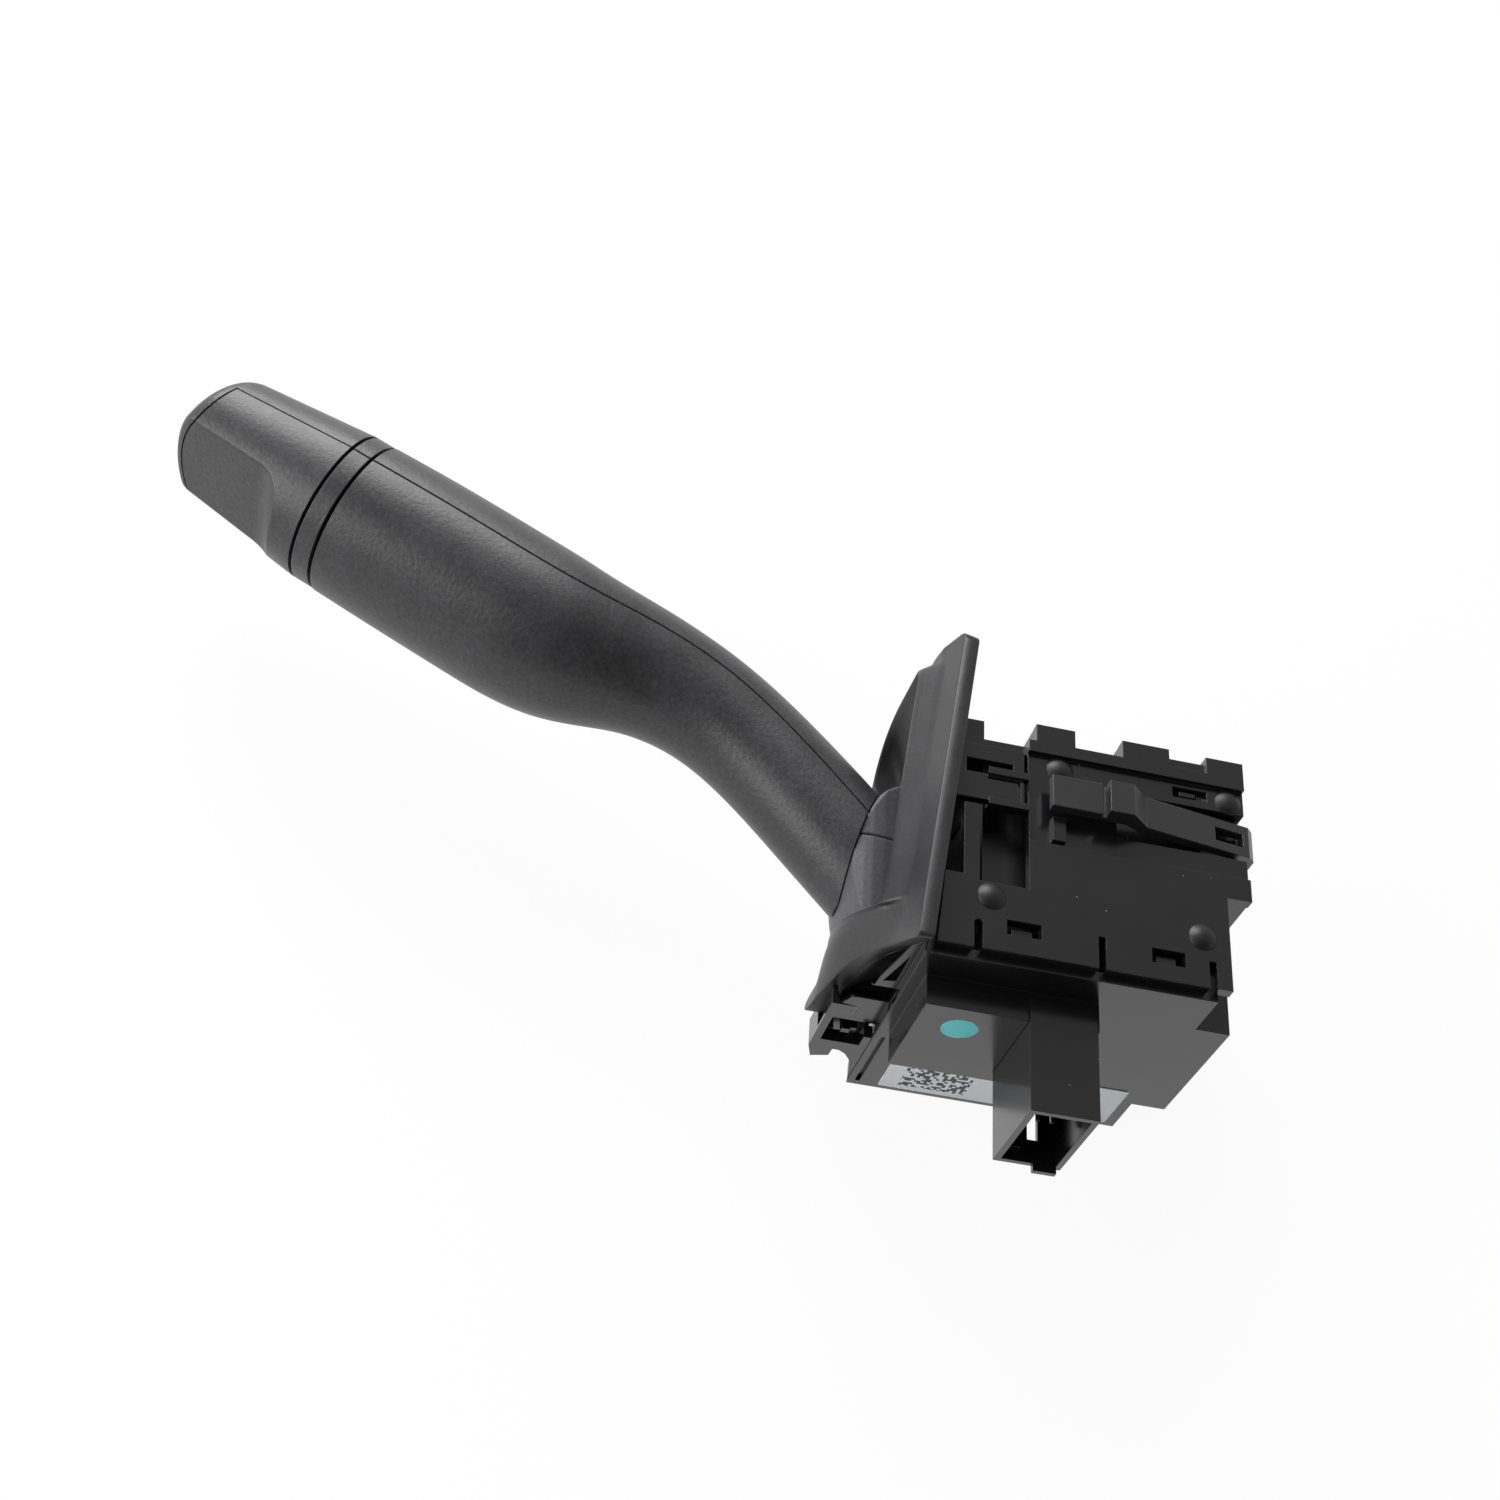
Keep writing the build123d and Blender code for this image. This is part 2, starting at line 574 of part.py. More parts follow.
# Each row of the bezel: distance up its edge, then z and height of six surface points
BEZEL_ROWS = (
    (-0.6, ((54.5, 0.0), (48.2, 1.5), (44.5, 2.1), (33.0, 3.6), (24.0, 7.4), (17.5, 10.2))),
    (4.0, ((54.5, 0.0), (48.2, 1.7), (44.5, 2.6), (33.0, 5.6), (24.0, 8.6), (17.5, 9.6))),
    (10.0, ((54.5, 0.0), (48.2, 2.2), (44.5, 5.3), (33.0, 7.4), (24.0, 8.0), (17.5, 7.8))),
    (36.0, ((54.5, 0.0), (48.2, 2.2), (44.5, 5.6), (33.0, 6.4), (24.0, 6.6), (17.5, 6.0))),
    (56.0, ((54.5, 0.0), (48.2, 2.2), (44.5, 5.6), (33.0, 6.0), (24.0, 5.6), (17.5, 4.2))),
    (64.5, ((54.5, 0.0), (48.4, 1.8), (45.0, 4.2), (34.0, 4.6), (25.5, 3.2), (20.0, 1.2))),
)


def bezel_loft(drop, low):
    """Body under the bezel's surface lowered by a drop, down to a low height."""
    body = None
    for first, second in zip(BEZEL_ROWS[:-1], BEZEL_ROWS[1:]):
        faces = []
        for along, points in (first, second):
            outline = [bezel_point(along, h - drop, z) for z, h in points]
            outline += [bezel_point(along, low, points[-1][0]), bezel_point(along, low, points[0][0])]
            faces.append(make_face(Polyline(*outline, close=True)))
        piece = loft(faces, ruled=True)
        body = piece if body is None else body + piece
    return body


MOUTH = (-13.8, 25.4, 20.2, 43.9)   # y and z limits of the collar's opening


def make_bezel():
    skin = bezel_loft(0, -2.4)
    hollow = bezel_loft(BEZEL_WALL, -6.0)
    trim = block((-60, 0), (-20.6, 39.6), (19.4, 52.2))
    bezel = skin - (hollow & trim)
    # dished pocket above the mouth
    dish_out = prism_z([(-60, 20.0), (-22.0, 20.0), (-22.0, 24.8), (-26.5, 39.8), (-60, 39.8)],
                       (20.4 - 1.8, 43.9 + 0.6))
    dish_in = prism_z([(-60, 18.0), (-24.2, 18.0), (-24.2, 24.6), (-28.6, 37.6), (-60, 37.6)],
                      (20.4, 43.9))
    bezel = bezel + (dish_out & skin)
    bezel -= dish_in
    bezel -= block((-60, 0), (MOUTH[0], MOUTH[1]), (MOUTH[2], MOUTH[3]))
    return solid_of(bezel)


def make_bracket():
    """Foot of the carrier: a framed window with its clip, a web to the housing and a short leg."""
    depth = (-22.4, -20.0)
    foot = block((-35.8, LEFT), depth, (11.2, 27.6))
    foot -= block((-34.4, -27.3), (-23, -19), (14.2, 24.8))
    # closed back of the window, and the clip that stands in it
    foot += block((-35.8, -34.8), (-20.2, -17.2), (11.2, 27.6))
    foot += block((-35.8, LEFT), (-18.4, -17.2), (11.2, 27.6))
    foot += block((-31.4, -29.8), (-21.4, -17.4), (16.0, 25.0))
    foot += block((-29.9, -28.6), (-21.0, -17.4), (14.0, 20.5))
    web = [(LEFT, 0.6), (-26.5, 4.0), (-27.5, 8.2), (-28.8, 10.2), (-30.4, 11.3), (LEFT, 11.3)]
    leg = [(-31.4, 11.3), (-31.5, 8.7), (-34.6, 7.6), (-35.8, 11.3)]
    return foot + prism_y(web, depth) + prism_y(leg, (-22.4, -18.6))


def make_snap_arms():
    """Two flat arms over the housing's corner, with a window, a groove and two raised catches."""
    level = (50.4, FRONT)
    arms = block((-24.0, -9.2), (8.4, 19.9), level)
    arms -= block((-19.7, -11.2), (13.8, 16.7), (50, 53))
    arms -= block((-15.8, -9.9), (12.9, 13.3), (FRONT - 0.7, 53))
    arms -= block((-10.3, -9.9), (8.7, 13.3), (FRONT - 0.7, 53))
    arms += block((-15.8, -8.4), (13.7, 15.1), (50.4, FRONT + 0.6))
    arms += block((-15.8, -8.4), (7.4, 8.7), (50.4, FRONT + 0.6))
    return arms + block((-24.0, -22.4), (8.4, 19.3), (48.0, FRONT))


def make_bezel_carrier():
    """Glossy frame between the bezel and the housing, with its snap arms and foot."""
    back = [(-50.0, -22.2), (left_face(-22.2), -22.2), (left_face(24.0), 24.0), (-50.0, 24.0)]
    tube = prism_z(back, (18.6, 50.0))
    tube -= block((-55, -18), (-20.2, 22.4), (20.2, 48.0))
    # the collar's upper end swings through the tube's top
    tube -= block((-55, -18), (20.0, 26.0), (22.4, 41.6))
    # the lower wall is a gusset plate with a three-cornered opening; the rest is open
    tube -= prism_y([(-55, 33.0), (-29.8, 33.0), (-29.6, 36.0), (-28.0, 44.4), (-27.6, 48.6), (-55, 48.6)], (-24, -20))
    tube -= prism_y([(-26.6, 44.4), (-26.6, 35.4), (-28.8, 34.8)], (-24, -20))
    tube -= block((-55, LEFT + 0.2), (-24, -20), (27.8, 32.8))
    tube = tube & bezel_loft(BEZEL_WALL + 0.2, -9.0)
    return solid_of(tube + make_bracket() + make_snap_arms() - make_bezel())


# Release latch

def make_latch():
    outline = [
        (-5.0, 53.0), (-5.0, 55.0), (4.2, 55.0), (4.2, 54.0), (5.0, 54.0), (5.0, 56.4), (9.4, 56.4),
        (12.8, 53.4), (26.0, 51.2), (33.2, 50.0), (34.4, 48.8), (34.4, 46.2), (33.2, 45.0), (32.4, 45.0),
        (32.4, 48.2), (26.0, 49.4), (12.0, 51.4), (9.0, 53.0),
    ]
    latch = prism_y(outline, (7.8, 14.2))
    latch -= block((26.4, 32.0), (9.6, 12.4), (44, 56))
    return solid_of(latch)


# Label

def make_label():
    """Paper label on the rear half of the lower wall."""
    label = block((-20.2, 23.4), (BOTTOM - 0.15, BOTTOM), (1.3, 14.1))
    return fillet(label.edges().filter_by(Axis.Y), 0.4)


def build():
    parts["housing_base"] = make_base()
    parts["front_cover"] = make_cover()
    parts["cover_stakes"] = make_stakes()
    parts["cover_hooks"] = make_hooks()
    parts["connector_shroud"] = make_tower()
    parts["terminal_pins"] = make_pins()
    parts["circuit_board"] = make_board()
    parts["contact_tracks"] = make_tracks()
    parts["pivot_frame"] = make_pivot_frame()
    parts["gimbal_yoke"] = make_yoke()
    parts["pivot_pin"] = make_pivot_pin()
    parts["turn_wiper"] = make_turn_wiper()
    parts["detent_plunger"] = make_detent_plunger()
    parts["detent_spring"] = coil((3.3, 15.0, PIVOT.Z), 4.4, 1.2, 0.25, 5)
    parts["detent_track"] = make_detent_track()
    parts["lever_hub"] = make_hub()
    parts["beam_slider"] = make_slider()
    parts["slider_guide"] = make_slider_guide()
    parts["collar_upper"] = make_collar(True)
    parts["collar_lower"] = make_collar(False)
    parts["arm_rear_shell"] = make_arm_shell(False)
    parts["arm_face_shell"] = make_arm_shell(True)
    parts["arm_core"] = make_arm_core()
    parts["wire_loom"] = make_loom()
    parts["ring_rear"] = make_ring_half(False)
    parts["ring_face"] = make_ring_half(True)
    parts["ring_carrier"] = make_ring_carrier()
    parts["knob_rear_shell"] = make_knob_shell(False)
    parts["knob_face_shell"] = make_knob_shell(True)
    parts["knob_spindle"] = make_knob_spindle()
    parts["bezel"] = make_bezel()
    parts["bezel_carrier"] = make_bezel_carrier()
    parts["release_latch"] = make_latch()
    parts["label"] = make_label()


def write_parts():
    os.makedirs("parts", exist_ok=True)
    for name, shape in parts.items():
        export_step(shape, f"parts/{name}.step")
        print(name, round(shape.volume, 1), "mm3")


build()
write_parts()
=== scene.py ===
import logging
import math
from dataclasses import dataclass, field
from enum import Enum
from typing import Any, Callable, Optional, Sequence

import bpy
import numpy as np
from mathutils import Matrix, Vector


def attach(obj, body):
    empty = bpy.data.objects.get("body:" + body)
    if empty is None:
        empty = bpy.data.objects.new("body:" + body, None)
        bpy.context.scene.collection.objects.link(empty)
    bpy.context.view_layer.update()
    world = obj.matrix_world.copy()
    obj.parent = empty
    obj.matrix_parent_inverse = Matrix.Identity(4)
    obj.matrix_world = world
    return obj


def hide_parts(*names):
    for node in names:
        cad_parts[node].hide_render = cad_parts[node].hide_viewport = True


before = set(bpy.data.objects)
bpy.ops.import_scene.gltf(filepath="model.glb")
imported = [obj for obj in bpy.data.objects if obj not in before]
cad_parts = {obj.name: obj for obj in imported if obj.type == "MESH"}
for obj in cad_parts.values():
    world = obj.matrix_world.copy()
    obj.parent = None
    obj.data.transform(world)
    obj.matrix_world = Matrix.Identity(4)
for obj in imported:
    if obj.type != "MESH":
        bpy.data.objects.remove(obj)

# Looks of the combination stalk switch. Lengths in the classes are millimetres in the row frame:
# +Z is the normal of the domed cover, -X runs along the stalk and -Y is the connector's way.

Array = np.ndarray
Material = bpy.types.Material
Piece = bpy.types.Object
Tree = bpy.types.NodeTree
Socket = bpy.types.NodeSocket
Pair = tuple[float, float]
Point = tuple[float, float, float]

LOG = logging.getLogger("stalk_switch")
MM = 0.001
CREASE = 38.0  # edges sharper than this many degrees stay crisp
RIM_TURN = 70.0  # a skin's rims turn by more than this many degrees
NOISE = (0.3, 0.7)  # range that holds nearly all values of a noise
HALVINGS = 24  # steps of a search by halving
BALL_CENTRE = (-10.0, -1.5, 32.0)  # centre of the ball that the collar turns on
UP = np.array([0.0, 0.0, 1.0])
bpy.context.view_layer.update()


class Body(Enum):
    """Moving bodies that a piece can ride on."""

    HOUSING = "root"
    LEVER = "lever"
    RING = "ring"
    KNOB = "knob"


class Side(Enum):
    """Halves of the stalk: the rear half looks away from the driver."""

    REAR = -1
    FACE = 1


def linear(colour: str) -> tuple[float, float, float, float]:
    """Turns an sRGB hex colour into linear light.

    Args:
        colour: six hex digits, such as "4a4a4c".

    Returns:
        Red, green, blue and an alpha of 1.
    """
    parts = [int(colour[i:i + 2], 16) / 255 for i in (0, 2, 4)]
    low = [p / 12.92 if p <= 0.04045 else ((p + 0.055) / 1.055) ** 2.4 for p in parts]
    return (low[0], low[1], low[2], 1.0)


def add_node(tree: Tree, kind: str, inputs: Optional[dict[Any, Any]] = None,
             **settings: Any) -> bpy.types.Node:
    """Adds a node, sets its properties and fills or links its inputs.

    Args:
        tree: node tree that takes the node.
        kind: the node's type name.
        inputs: socket name or index to a value, or to another node's output socket.
        settings: properties of the node itself.

    Returns:
        The new node.
    """
    node = tree.nodes.new(kind)
    for name, value in settings.items():
        setattr(node, name, value)
    for key, value in (inputs or {}).items():
        if isinstance(value, Socket):
            tree.links.new(value, node.inputs[key])
        else:
            node.inputs[key].default_value = value
    return node


def maths(tree: Tree, operation: str, a: Any, b: Any) -> Socket:
    """Works out a sum, product or comparison of two numbers or sockets, as a socket."""
    return add_node(tree, "ShaderNodeMath", {0: a, 1: b}, operation=operation).outputs["Value"]


def spread(tree: Tree, noise: bpy.types.Node, low: float, high: float) -> Socket:
    """Stretches the values of a noise to the range from low to high."""
    return add_node(tree, "ShaderNodeMapRange", {
        "Value": noise.outputs["Fac"], "From Min": NOISE[0], "From Max": NOISE[1],
        "To Min": low, "To Max": high}).outputs["Result"]


def empty_material(name: str) -> tuple[Material, Tree]:
    """Makes a node material without nodes.

    Args:
        name: the material's name.

    Returns:
        The material and its node tree.
    """
    material = bpy.data.materials.new(name)
    material.use_nodes = True
    material.node_tree.nodes.clear()
    return material, material.node_tree


@dataclass(frozen=True)
class MouldedPlastic:
    """Finish of an injection-moulded plastic: grain, faint mottling and soft edges."""

    name: str
    colour: str
    roughness: float
    grain: float = 0.35  # width of a grain, mm
    grain_height: float = 0.012  # its height, mm
    mottling: float = 0.10  # share by which the colour varies
    edge: float = 0.15  # radius that the mould leaves on edges, mm
    waviness: float = 0.0  # height of the slow waves of a glossy moulding, mm
    dust: float = 0.0  # share of specks that carry dust
    specular: float = 0.5
    cloud: float = 9.0  # width of a cloud in the colour, mm
    wave: float = 6.0  # width of a slow wave, mm
    gloss_spread: float = 0.1  # share by which the roughness varies
    dust_cell: float = 1.3  # spacing of the places for specks, mm
    dust_size: float = 0.075  # radius of a speck, in cells
    dust_colour: str = "8d8d8a"
    dust_roughness: float = 0.8

    def material(self) -> Material:
        """Builds the finish as a node material.

        Returns:
            The material.
        """
        material, tree = empty_material(self.name)
        place = add_node(tree, "ShaderNodeTexCoord").outputs["Object"]
        grain = add_node(tree, "ShaderNodeTexNoise", {
            "Vector": place, "Scale": 1 / (self.grain * MM), "Detail": 2.0, "Roughness": 0.6})
        cloud = add_node(tree, "ShaderNodeTexNoise", {
            "Vector": place, "Scale": 1 / (self.cloud * MM), "Detail": 3.0, "Roughness": 0.55})
        shade = spread(tree, grain, 1 - self.mottling, 1 + self.mottling)
        slow = spread(tree, cloud, 1 - self.mottling / 2, 1 + self.mottling / 2)
        colour = add_node(tree, "ShaderNodeVectorMath", {
            0: linear(self.colour)[:3], "Scale": maths(tree, "MULTIPLY", shade, slow)},
            operation="SCALE").outputs["Vector"]
        gloss = spread(tree, cloud, self.roughness * (1 - self.gloss_spread),
                       self.roughness * (1 + self.gloss_spread))
        if self.dust:
            colour, gloss = self._dusted(tree, place, colour, gloss)
        bumps = [(grain, self.grain_height)]
        if self.waviness:
            waves = add_node(tree, "ShaderNodeTexNoise", {
                "Vector": place, "Scale": 1 / (self.wave * MM), "Detail": 1.0})
            bumps.insert(0, (waves, self.waviness))
        normal = add_node(tree, "ShaderNodeBevel", {"Radius": self.edge * MM}, samples=6).outputs["Normal"]
        for noise, height in bumps:
            normal = add_node(tree, "ShaderNodeBump", {
                "Strength": 1.0, "Distance": height * MM, "Height": noise.outputs["Fac"],
                "Normal": normal}).outputs["Normal"]
        shader = add_node(tree, "ShaderNodeBsdfPrincipled", {
            "Base Color": colour, "Roughness": gloss, "IOR": 1.5, "Normal": normal,
            "Specular IOR Level": self.specular})
        add_node(tree, "ShaderNodeOutputMaterial", {"Surface": shader.outputs["BSDF"]})
        return material

    def _dusted(self, tree: Tree, place: Socket, colour: Socket, gloss: Socket) -> tuple[Socket, Socket]:
        """Lays grey dust specks on a finish: one cell in a few holds a speck about 0.2 mm wide.

        Args:
            tree: the material's tree.
            place: texture coordinates.
            colour: colour below the dust.
            gloss: roughness below the dust.

        Returns:
            The colour and the roughness with dust.
        """
        cells = add_node(tree, "ShaderNodeTexVoronoi", {
            "Vector": place, "Scale": 1 / (self.dust_cell * MM), "Randomness": 1.0})
        near = maths(tree, "LESS_THAN", cells.outputs["Distance"], self.dust_size)
        pick = add_node(tree, "ShaderNodeSeparateColor", {"Color": cells.outputs["Color"]})
        speck = maths(tree, "MULTIPLY", near, maths(tree, "LESS_THAN", pick.outputs["Red"], self.dust))
        dusty = add_node(tree, "ShaderNodeMix", {
            "Factor": speck, 6: colour, 7: linear(self.dust_colour)}, data_type="RGBA").outputs[2]
        rough = add_node(tree, "ShaderNodeMix", {
            "Factor": speck, 2: gloss, 3: self.dust_roughness}, data_type="FLOAT").outputs[0]
        return dusty, rough


@dataclass(frozen=True)
class BareMetal:
    """Finish of a ground or tinned metal part: faint lines and a soft sheen."""

    name: str
    colour: str
    roughness: float
    line: float = 0.2  # spacing of the grinding lines, mm
    stretch: float = 0.05  # share to which the noise is drawn out along Y
    gloss_spread: float = 0.3  # share by which the roughness varies

    def material(self) -> Material:
        """Builds the finish as a node material.

        Returns:
            The material.
        """
        material, tree = empty_material(self.name)
        place = add_node(tree, "ShaderNodeTexCoord").outputs["Object"]
        drawn = add_node(tree, "ShaderNodeMapping", {"Vector": place, "Scale": (1.0, self.stretch, 1.0)})
        lines = add_node(tree, "ShaderNodeTexNoise", {
            "Vector": drawn.outputs["Vector"], "Scale": 1 / (self.line * MM), "Detail": 2.0})
        gloss = add_node(tree, "ShaderNodeMapRange", {
            "Value": lines.outputs["Fac"], "To Min": self.roughness * (1 - self.gloss_spread),
            "To Max": self.roughness * (1 + self.gloss_spread)})
        shader = add_node(tree, "ShaderNodeBsdfPrincipled", {
            "Base Color": linear(self.colour), "Metallic": 1.0, "Roughness": gloss.outputs["Result"]})
        add_node(tree, "ShaderNodeOutputMaterial", {"Surface": shader.outputs["BSDF"]})
        return material


@dataclass(frozen=True)
class PrintedLabel:
    """White coated paper label with a generic square code at one end."""

    name: str
    paper: str
    ink: str
    code_x: Pair  # the code's extent along X, mm
    code_z: Pair  # the code's extent along Z, mm
    module: float  # width of one printed square, mm
    blank: float = 0.5  # share of the squares that stay bare
    fibre: float = 0.3  # width of a paper fibre, mm
    fibre_height: float = 0.004  # its height, mm
    roughness: float = 0.45

    def material(self) -> Material:
        """Builds the label: each square of the code is inked or not by a random value of its cell.

        Returns:
            The material.
        """
        material, tree = empty_material(self.name)
        place = add_node(tree, "ShaderNodeTexCoord").outputs["Object"]
        axes = add_node(tree, "ShaderNodeSeparateXYZ", {"Vector": place})
        cell = add_node(tree, "ShaderNodeVectorMath", {0: place, "Scale": 1 / (self.module * MM)},
                        operation="SCALE")
        flat = add_node(tree, "ShaderNodeVectorMath", {0: cell.outputs["Vector"], 1: (1.0, 0.0, 1.0)},
                        operation="MULTIPLY")
        square = add_node(tree, "ShaderNodeVectorMath", {0: flat.outputs["Vector"]}, operation="FLOOR")
        chance = add_node(tree, "ShaderNodeTexWhiteNoise", {"Vector": square.outputs["Vector"]})
        inked = maths(tree, "GREATER_THAN", chance.outputs["Value"], self.blank)
        for axis, (low, high) in (("X", self.code_x), ("Z", self.code_z)):
            above = maths(tree, "GREATER_THAN", axes.outputs[axis], low * MM)
            below = maths(tree, "LESS_THAN", axes.outputs[axis], high * MM)
            inked = maths(tree, "MULTIPLY", maths(tree, "MULTIPLY", inked, above), below)
        colour = add_node(tree, "ShaderNodeMix", {
            "Factor": inked, 6: linear(self.paper), 7: linear(self.ink)}, data_type="RGBA")
        fibre = add_node(tree, "ShaderNodeTexNoise", {"Vector": place, "Scale": 1 / (self.fibre * MM)})
        normal = add_node(tree, "ShaderNodeBump", {
            "Distance": self.fibre_height * MM, "Height": fibre.outputs["Fac"]})
        shader = add_node(tree, "ShaderNodeBsdfPrincipled", {
            "Base Color": colour.outputs[2], "Roughness": self.roughness,
            "Normal": normal.outputs["Normal"]})
        add_node(tree, "ShaderNodeOutputMaterial", {"Surface": shader.outputs["BSDF"]})
        return material


Finish = MouldedPlastic | BareMetal | PrintedLabel

# PC/ABS, spark-eroded mould: fine even grain that turns highlights into a soft sparkle
STALK_PLASTIC = MouldedPlastic("grained_abs_charcoal", "333335", 0.42, grain=0.80, grain_height=0.060,
                               mottling=0.30, edge=0.12)
# The collar is the same plastic in a lighter batch
COLLAR_PLASTIC = MouldedPlastic("grained_abs_grey", "48484b", 0.46, grain=0.70, grain_height=0.040,
                                mottling=0.16, edge=0.8)
# Bezel: ABS with a finer satin grain
BEZEL_PLASTIC = MouldedPlastic("satin_abs_graphite", "2a2a2c", 0.38, grain=0.60, grain_height=0.026,
                               mottling=0.16, edge=0.12)
# Housing: glass-filled PBT from a polished mould, glossy black with slow waves and dust
HOUSING_PLASTIC = MouldedPlastic("polished_pbt_black", "141416", 0.20, grain=0.5, grain_height=0.002,
                                 mottling=0.05, edge=0.18, waviness=0.010, dust=0.05, specular=0.75)
# Formed heads: the same resin, dulled where the hot tool pressed it
STAKE_PLASTIC = MouldedPlastic("heat_formed_pbt_black", "1b1b1c", 0.42, grain_height=0.010,
                               mottling=0.10, edge=0.2, specular=0.4)
# Latch: a separate moulding of that resin, a little duller, so it stands out from the cover
LATCH_PLASTIC = MouldedPlastic("polished_pbt_black_latch", "222224", 0.30, grain=0.5, grain_height=0.003,
                               mottling=0.05, edge=0.25, waviness=0.010, dust=0.03, specular=0.8)
# Inner parts: black acetal, waxy
ACETAL = MouldedPlastic("acetal_black", "0e0e0f", 0.38, grain_height=0.004, mottling=0.05, edge=0.1)
# Circuit board: solder mask with a green sheen
BOARD = MouldedPlastic("solder_mask_green", "123b22", 0.35, grain_height=0.003, mottling=0.08, edge=0.05)
# Wire insulation: matt soft PVC
WIRE = MouldedPlastic("pvc_wire_black", "151515", 0.5, grain_height=0.004, edge=0.05)
# Pin, plunger and spring: ground steel with a cool streaky sheen
STEEL = BareMetal("ground_spring_steel", "b9b9bb", 0.28)
# Contacts: tinned copper, a warmer grey
TINNED_COPPER = BareMetal("tinned_copper", "cfc6b4", 0.3)
# Label: coated paper, cool white with a faint fibre
LABEL_PAPER = PrintedLabel("coated_label_paper", "eef1f6", "0b0b0c", code_x=(-16.9, -4.3),
                           code_z=(2.7, 13.8), module=0.6)
# Inspection mark: matt turquoise paint
MARK_PAINT = MouldedPlastic("turquoise_mark_paint", "68d8da", 0.55, grain=0.3, grain_height=0.010,
                            mottling=0.06, edge=0.03)


def between(a: Any, b: Any, share: Any) -> Any:
    """Goes a share of the way from one value or array to another."""
    return a * (1 - share) + b * share


def cubic_path(points: Array, t: Array) -> Array:
    """Natural cubic spline through points, its parameter in share of the chord length.

    Formula: each span is the cubic with the spans' second derivatives, which solve the
    tridiagonal system of equal slopes at the inner points and are zero at the ends.

    Args:
        points: (n, k) points.
        t: parameters; those outside 0 to 1 give the ends.

    Returns:
        (len(t), k) points on the spline.
    """
    step = np.linalg.norm(np.diff(points, axis=0), axis=1)
    knots = np.concatenate([[0.0], np.cumsum(step)])
    n = len(points)
    system = np.eye(n)
    inner = np.arange(1, n - 1)
    system[inner, inner - 1] = step[:-1]
    system[inner, inner] = 2 * (step[:-1] + step[1:])
    system[inner, inner + 1] = step[1:]
    right = np.zeros_like(points)
    slope = np.diff(points, axis=0) / step[:, None]
    right[1:-1] = 6 * np.diff(slope, axis=0)
    bend = np.linalg.solve(system, right)
    place = np.clip(t, 0, 1) * knots[-1]
    span = np.clip(np.searchsorted(knots, place, side="right") - 1, 0, n - 2)
    h = step[span][:, None]
    a = (knots[span + 1] - place)[:, None]
    b = (place - knots[span])[:, None]
    return (bend[span] * a ** 3 / (6 * h) + bend[span + 1] * b ** 3 / (6 * h)
            + (points[span] / h - bend[span] * h / 6) * a
            + (points[span + 1] / h - bend[span + 1] * h / 6) * b)


def halve(low: Array, high: Array, before: Callable[[Array], Array]) -> Array:
    """Finds where a test turns from true to false, by halving the span again and again.

    Args:
        low: values that pass the test.
        high: values that fail it.
        before: the test.

    Returns:
        The values at which it turns.
    """
    for _ in range(HALVINGS):
        middle = (low + high) / 2
        passed = before(middle)
        low, high = np.where(passed, middle, low), np.where(passed, high, middle)
    return (low + high) / 2


def smooth_step(x: Array, low: float, high: float) -> Array:
    """Rises from 0 at low to 1 at high, as 3 s squared minus 2 s cubed."""
    s = np.clip((x - low) / (high - low), 0, 1)
    return s * s * (3 - 2 * s)


def soft_min(a: Array, b: Array, radius: float) -> Array:
    """Smaller of two values, with a round blend: half of the sum less the root of the squared gap."""
    return 0.5 * (a + b - np.sqrt((a - b) ** 2 + radius ** 2))


def grid_faces(rows: int, columns: int, wrap_rows: bool = False, wrap_columns: bool = False) -> Array:
    """Quads of a grid of vertices numbered row by row.

    Args:
        rows: number of rows.
        columns: number of vertices in a row.
        wrap_rows: join the last row to the first.
        wrap_columns: join the last column to the first.

    Returns:
        (faces, 4) vertex numbers.
    """
    r = np.arange(rows if wrap_rows else rows - 1)
    c = np.arange(columns if wrap_columns else columns - 1)
    r, c = np.meshgrid(r, c, indexing="ij")
    r, c = r.ravel(), c.ravel()
    r2, c2 = (r + 1) % rows, (c + 1) % columns
    return np.stack([r * columns + c, r * columns + c2, r2 * columns + c2, r2 * columns + c], axis=1)


def add_object(name: str, data: bpy.types.ID) -> Piece:
    """Makes an object and links it to the scene.

    Args:
        name: the object's name.
        data: its mesh, camera or light.

    Returns:
        The object.
    """
    item = bpy.data.objects.new(name, data)
    bpy.context.scene.collection.objects.link(item)
    return item


def make_piece(name: str, points: Array, faces: Sequence[Sequence[int]], finish: Material,
               body: Body, replaces: Sequence[str] = ()) -> Piece:
    """Makes a piece from vertices in millimetres and faces, and puts it on its body.

    Args:
        name: the piece's name.
        points: (n, 3) vertices.
        faces: vertex numbers of each face.
        finish: its material.
        body: the body that it rides on.
        replaces: CAD nodes that it stands for.

    Returns:
        The piece.
    """
    mesh = bpy.data.meshes.new(name)
    mesh.from_pydata((points * MM).tolist(), [], [list(map(int, f)) for f in faces])
    mesh.validate()
    mesh.polygons.foreach_set("use_smooth", np.ones(len(mesh.polygons), bool))
    mesh.set_sharp_from_angle(angle=math.radians(CREASE))
    mesh.materials.append(finish)
    piece = add_object(name, mesh)
    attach(piece, body.value)
    if replaces:
        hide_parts(*replaces)
    LOG.info("%s: %d vertices", name, len(points))
    return piece


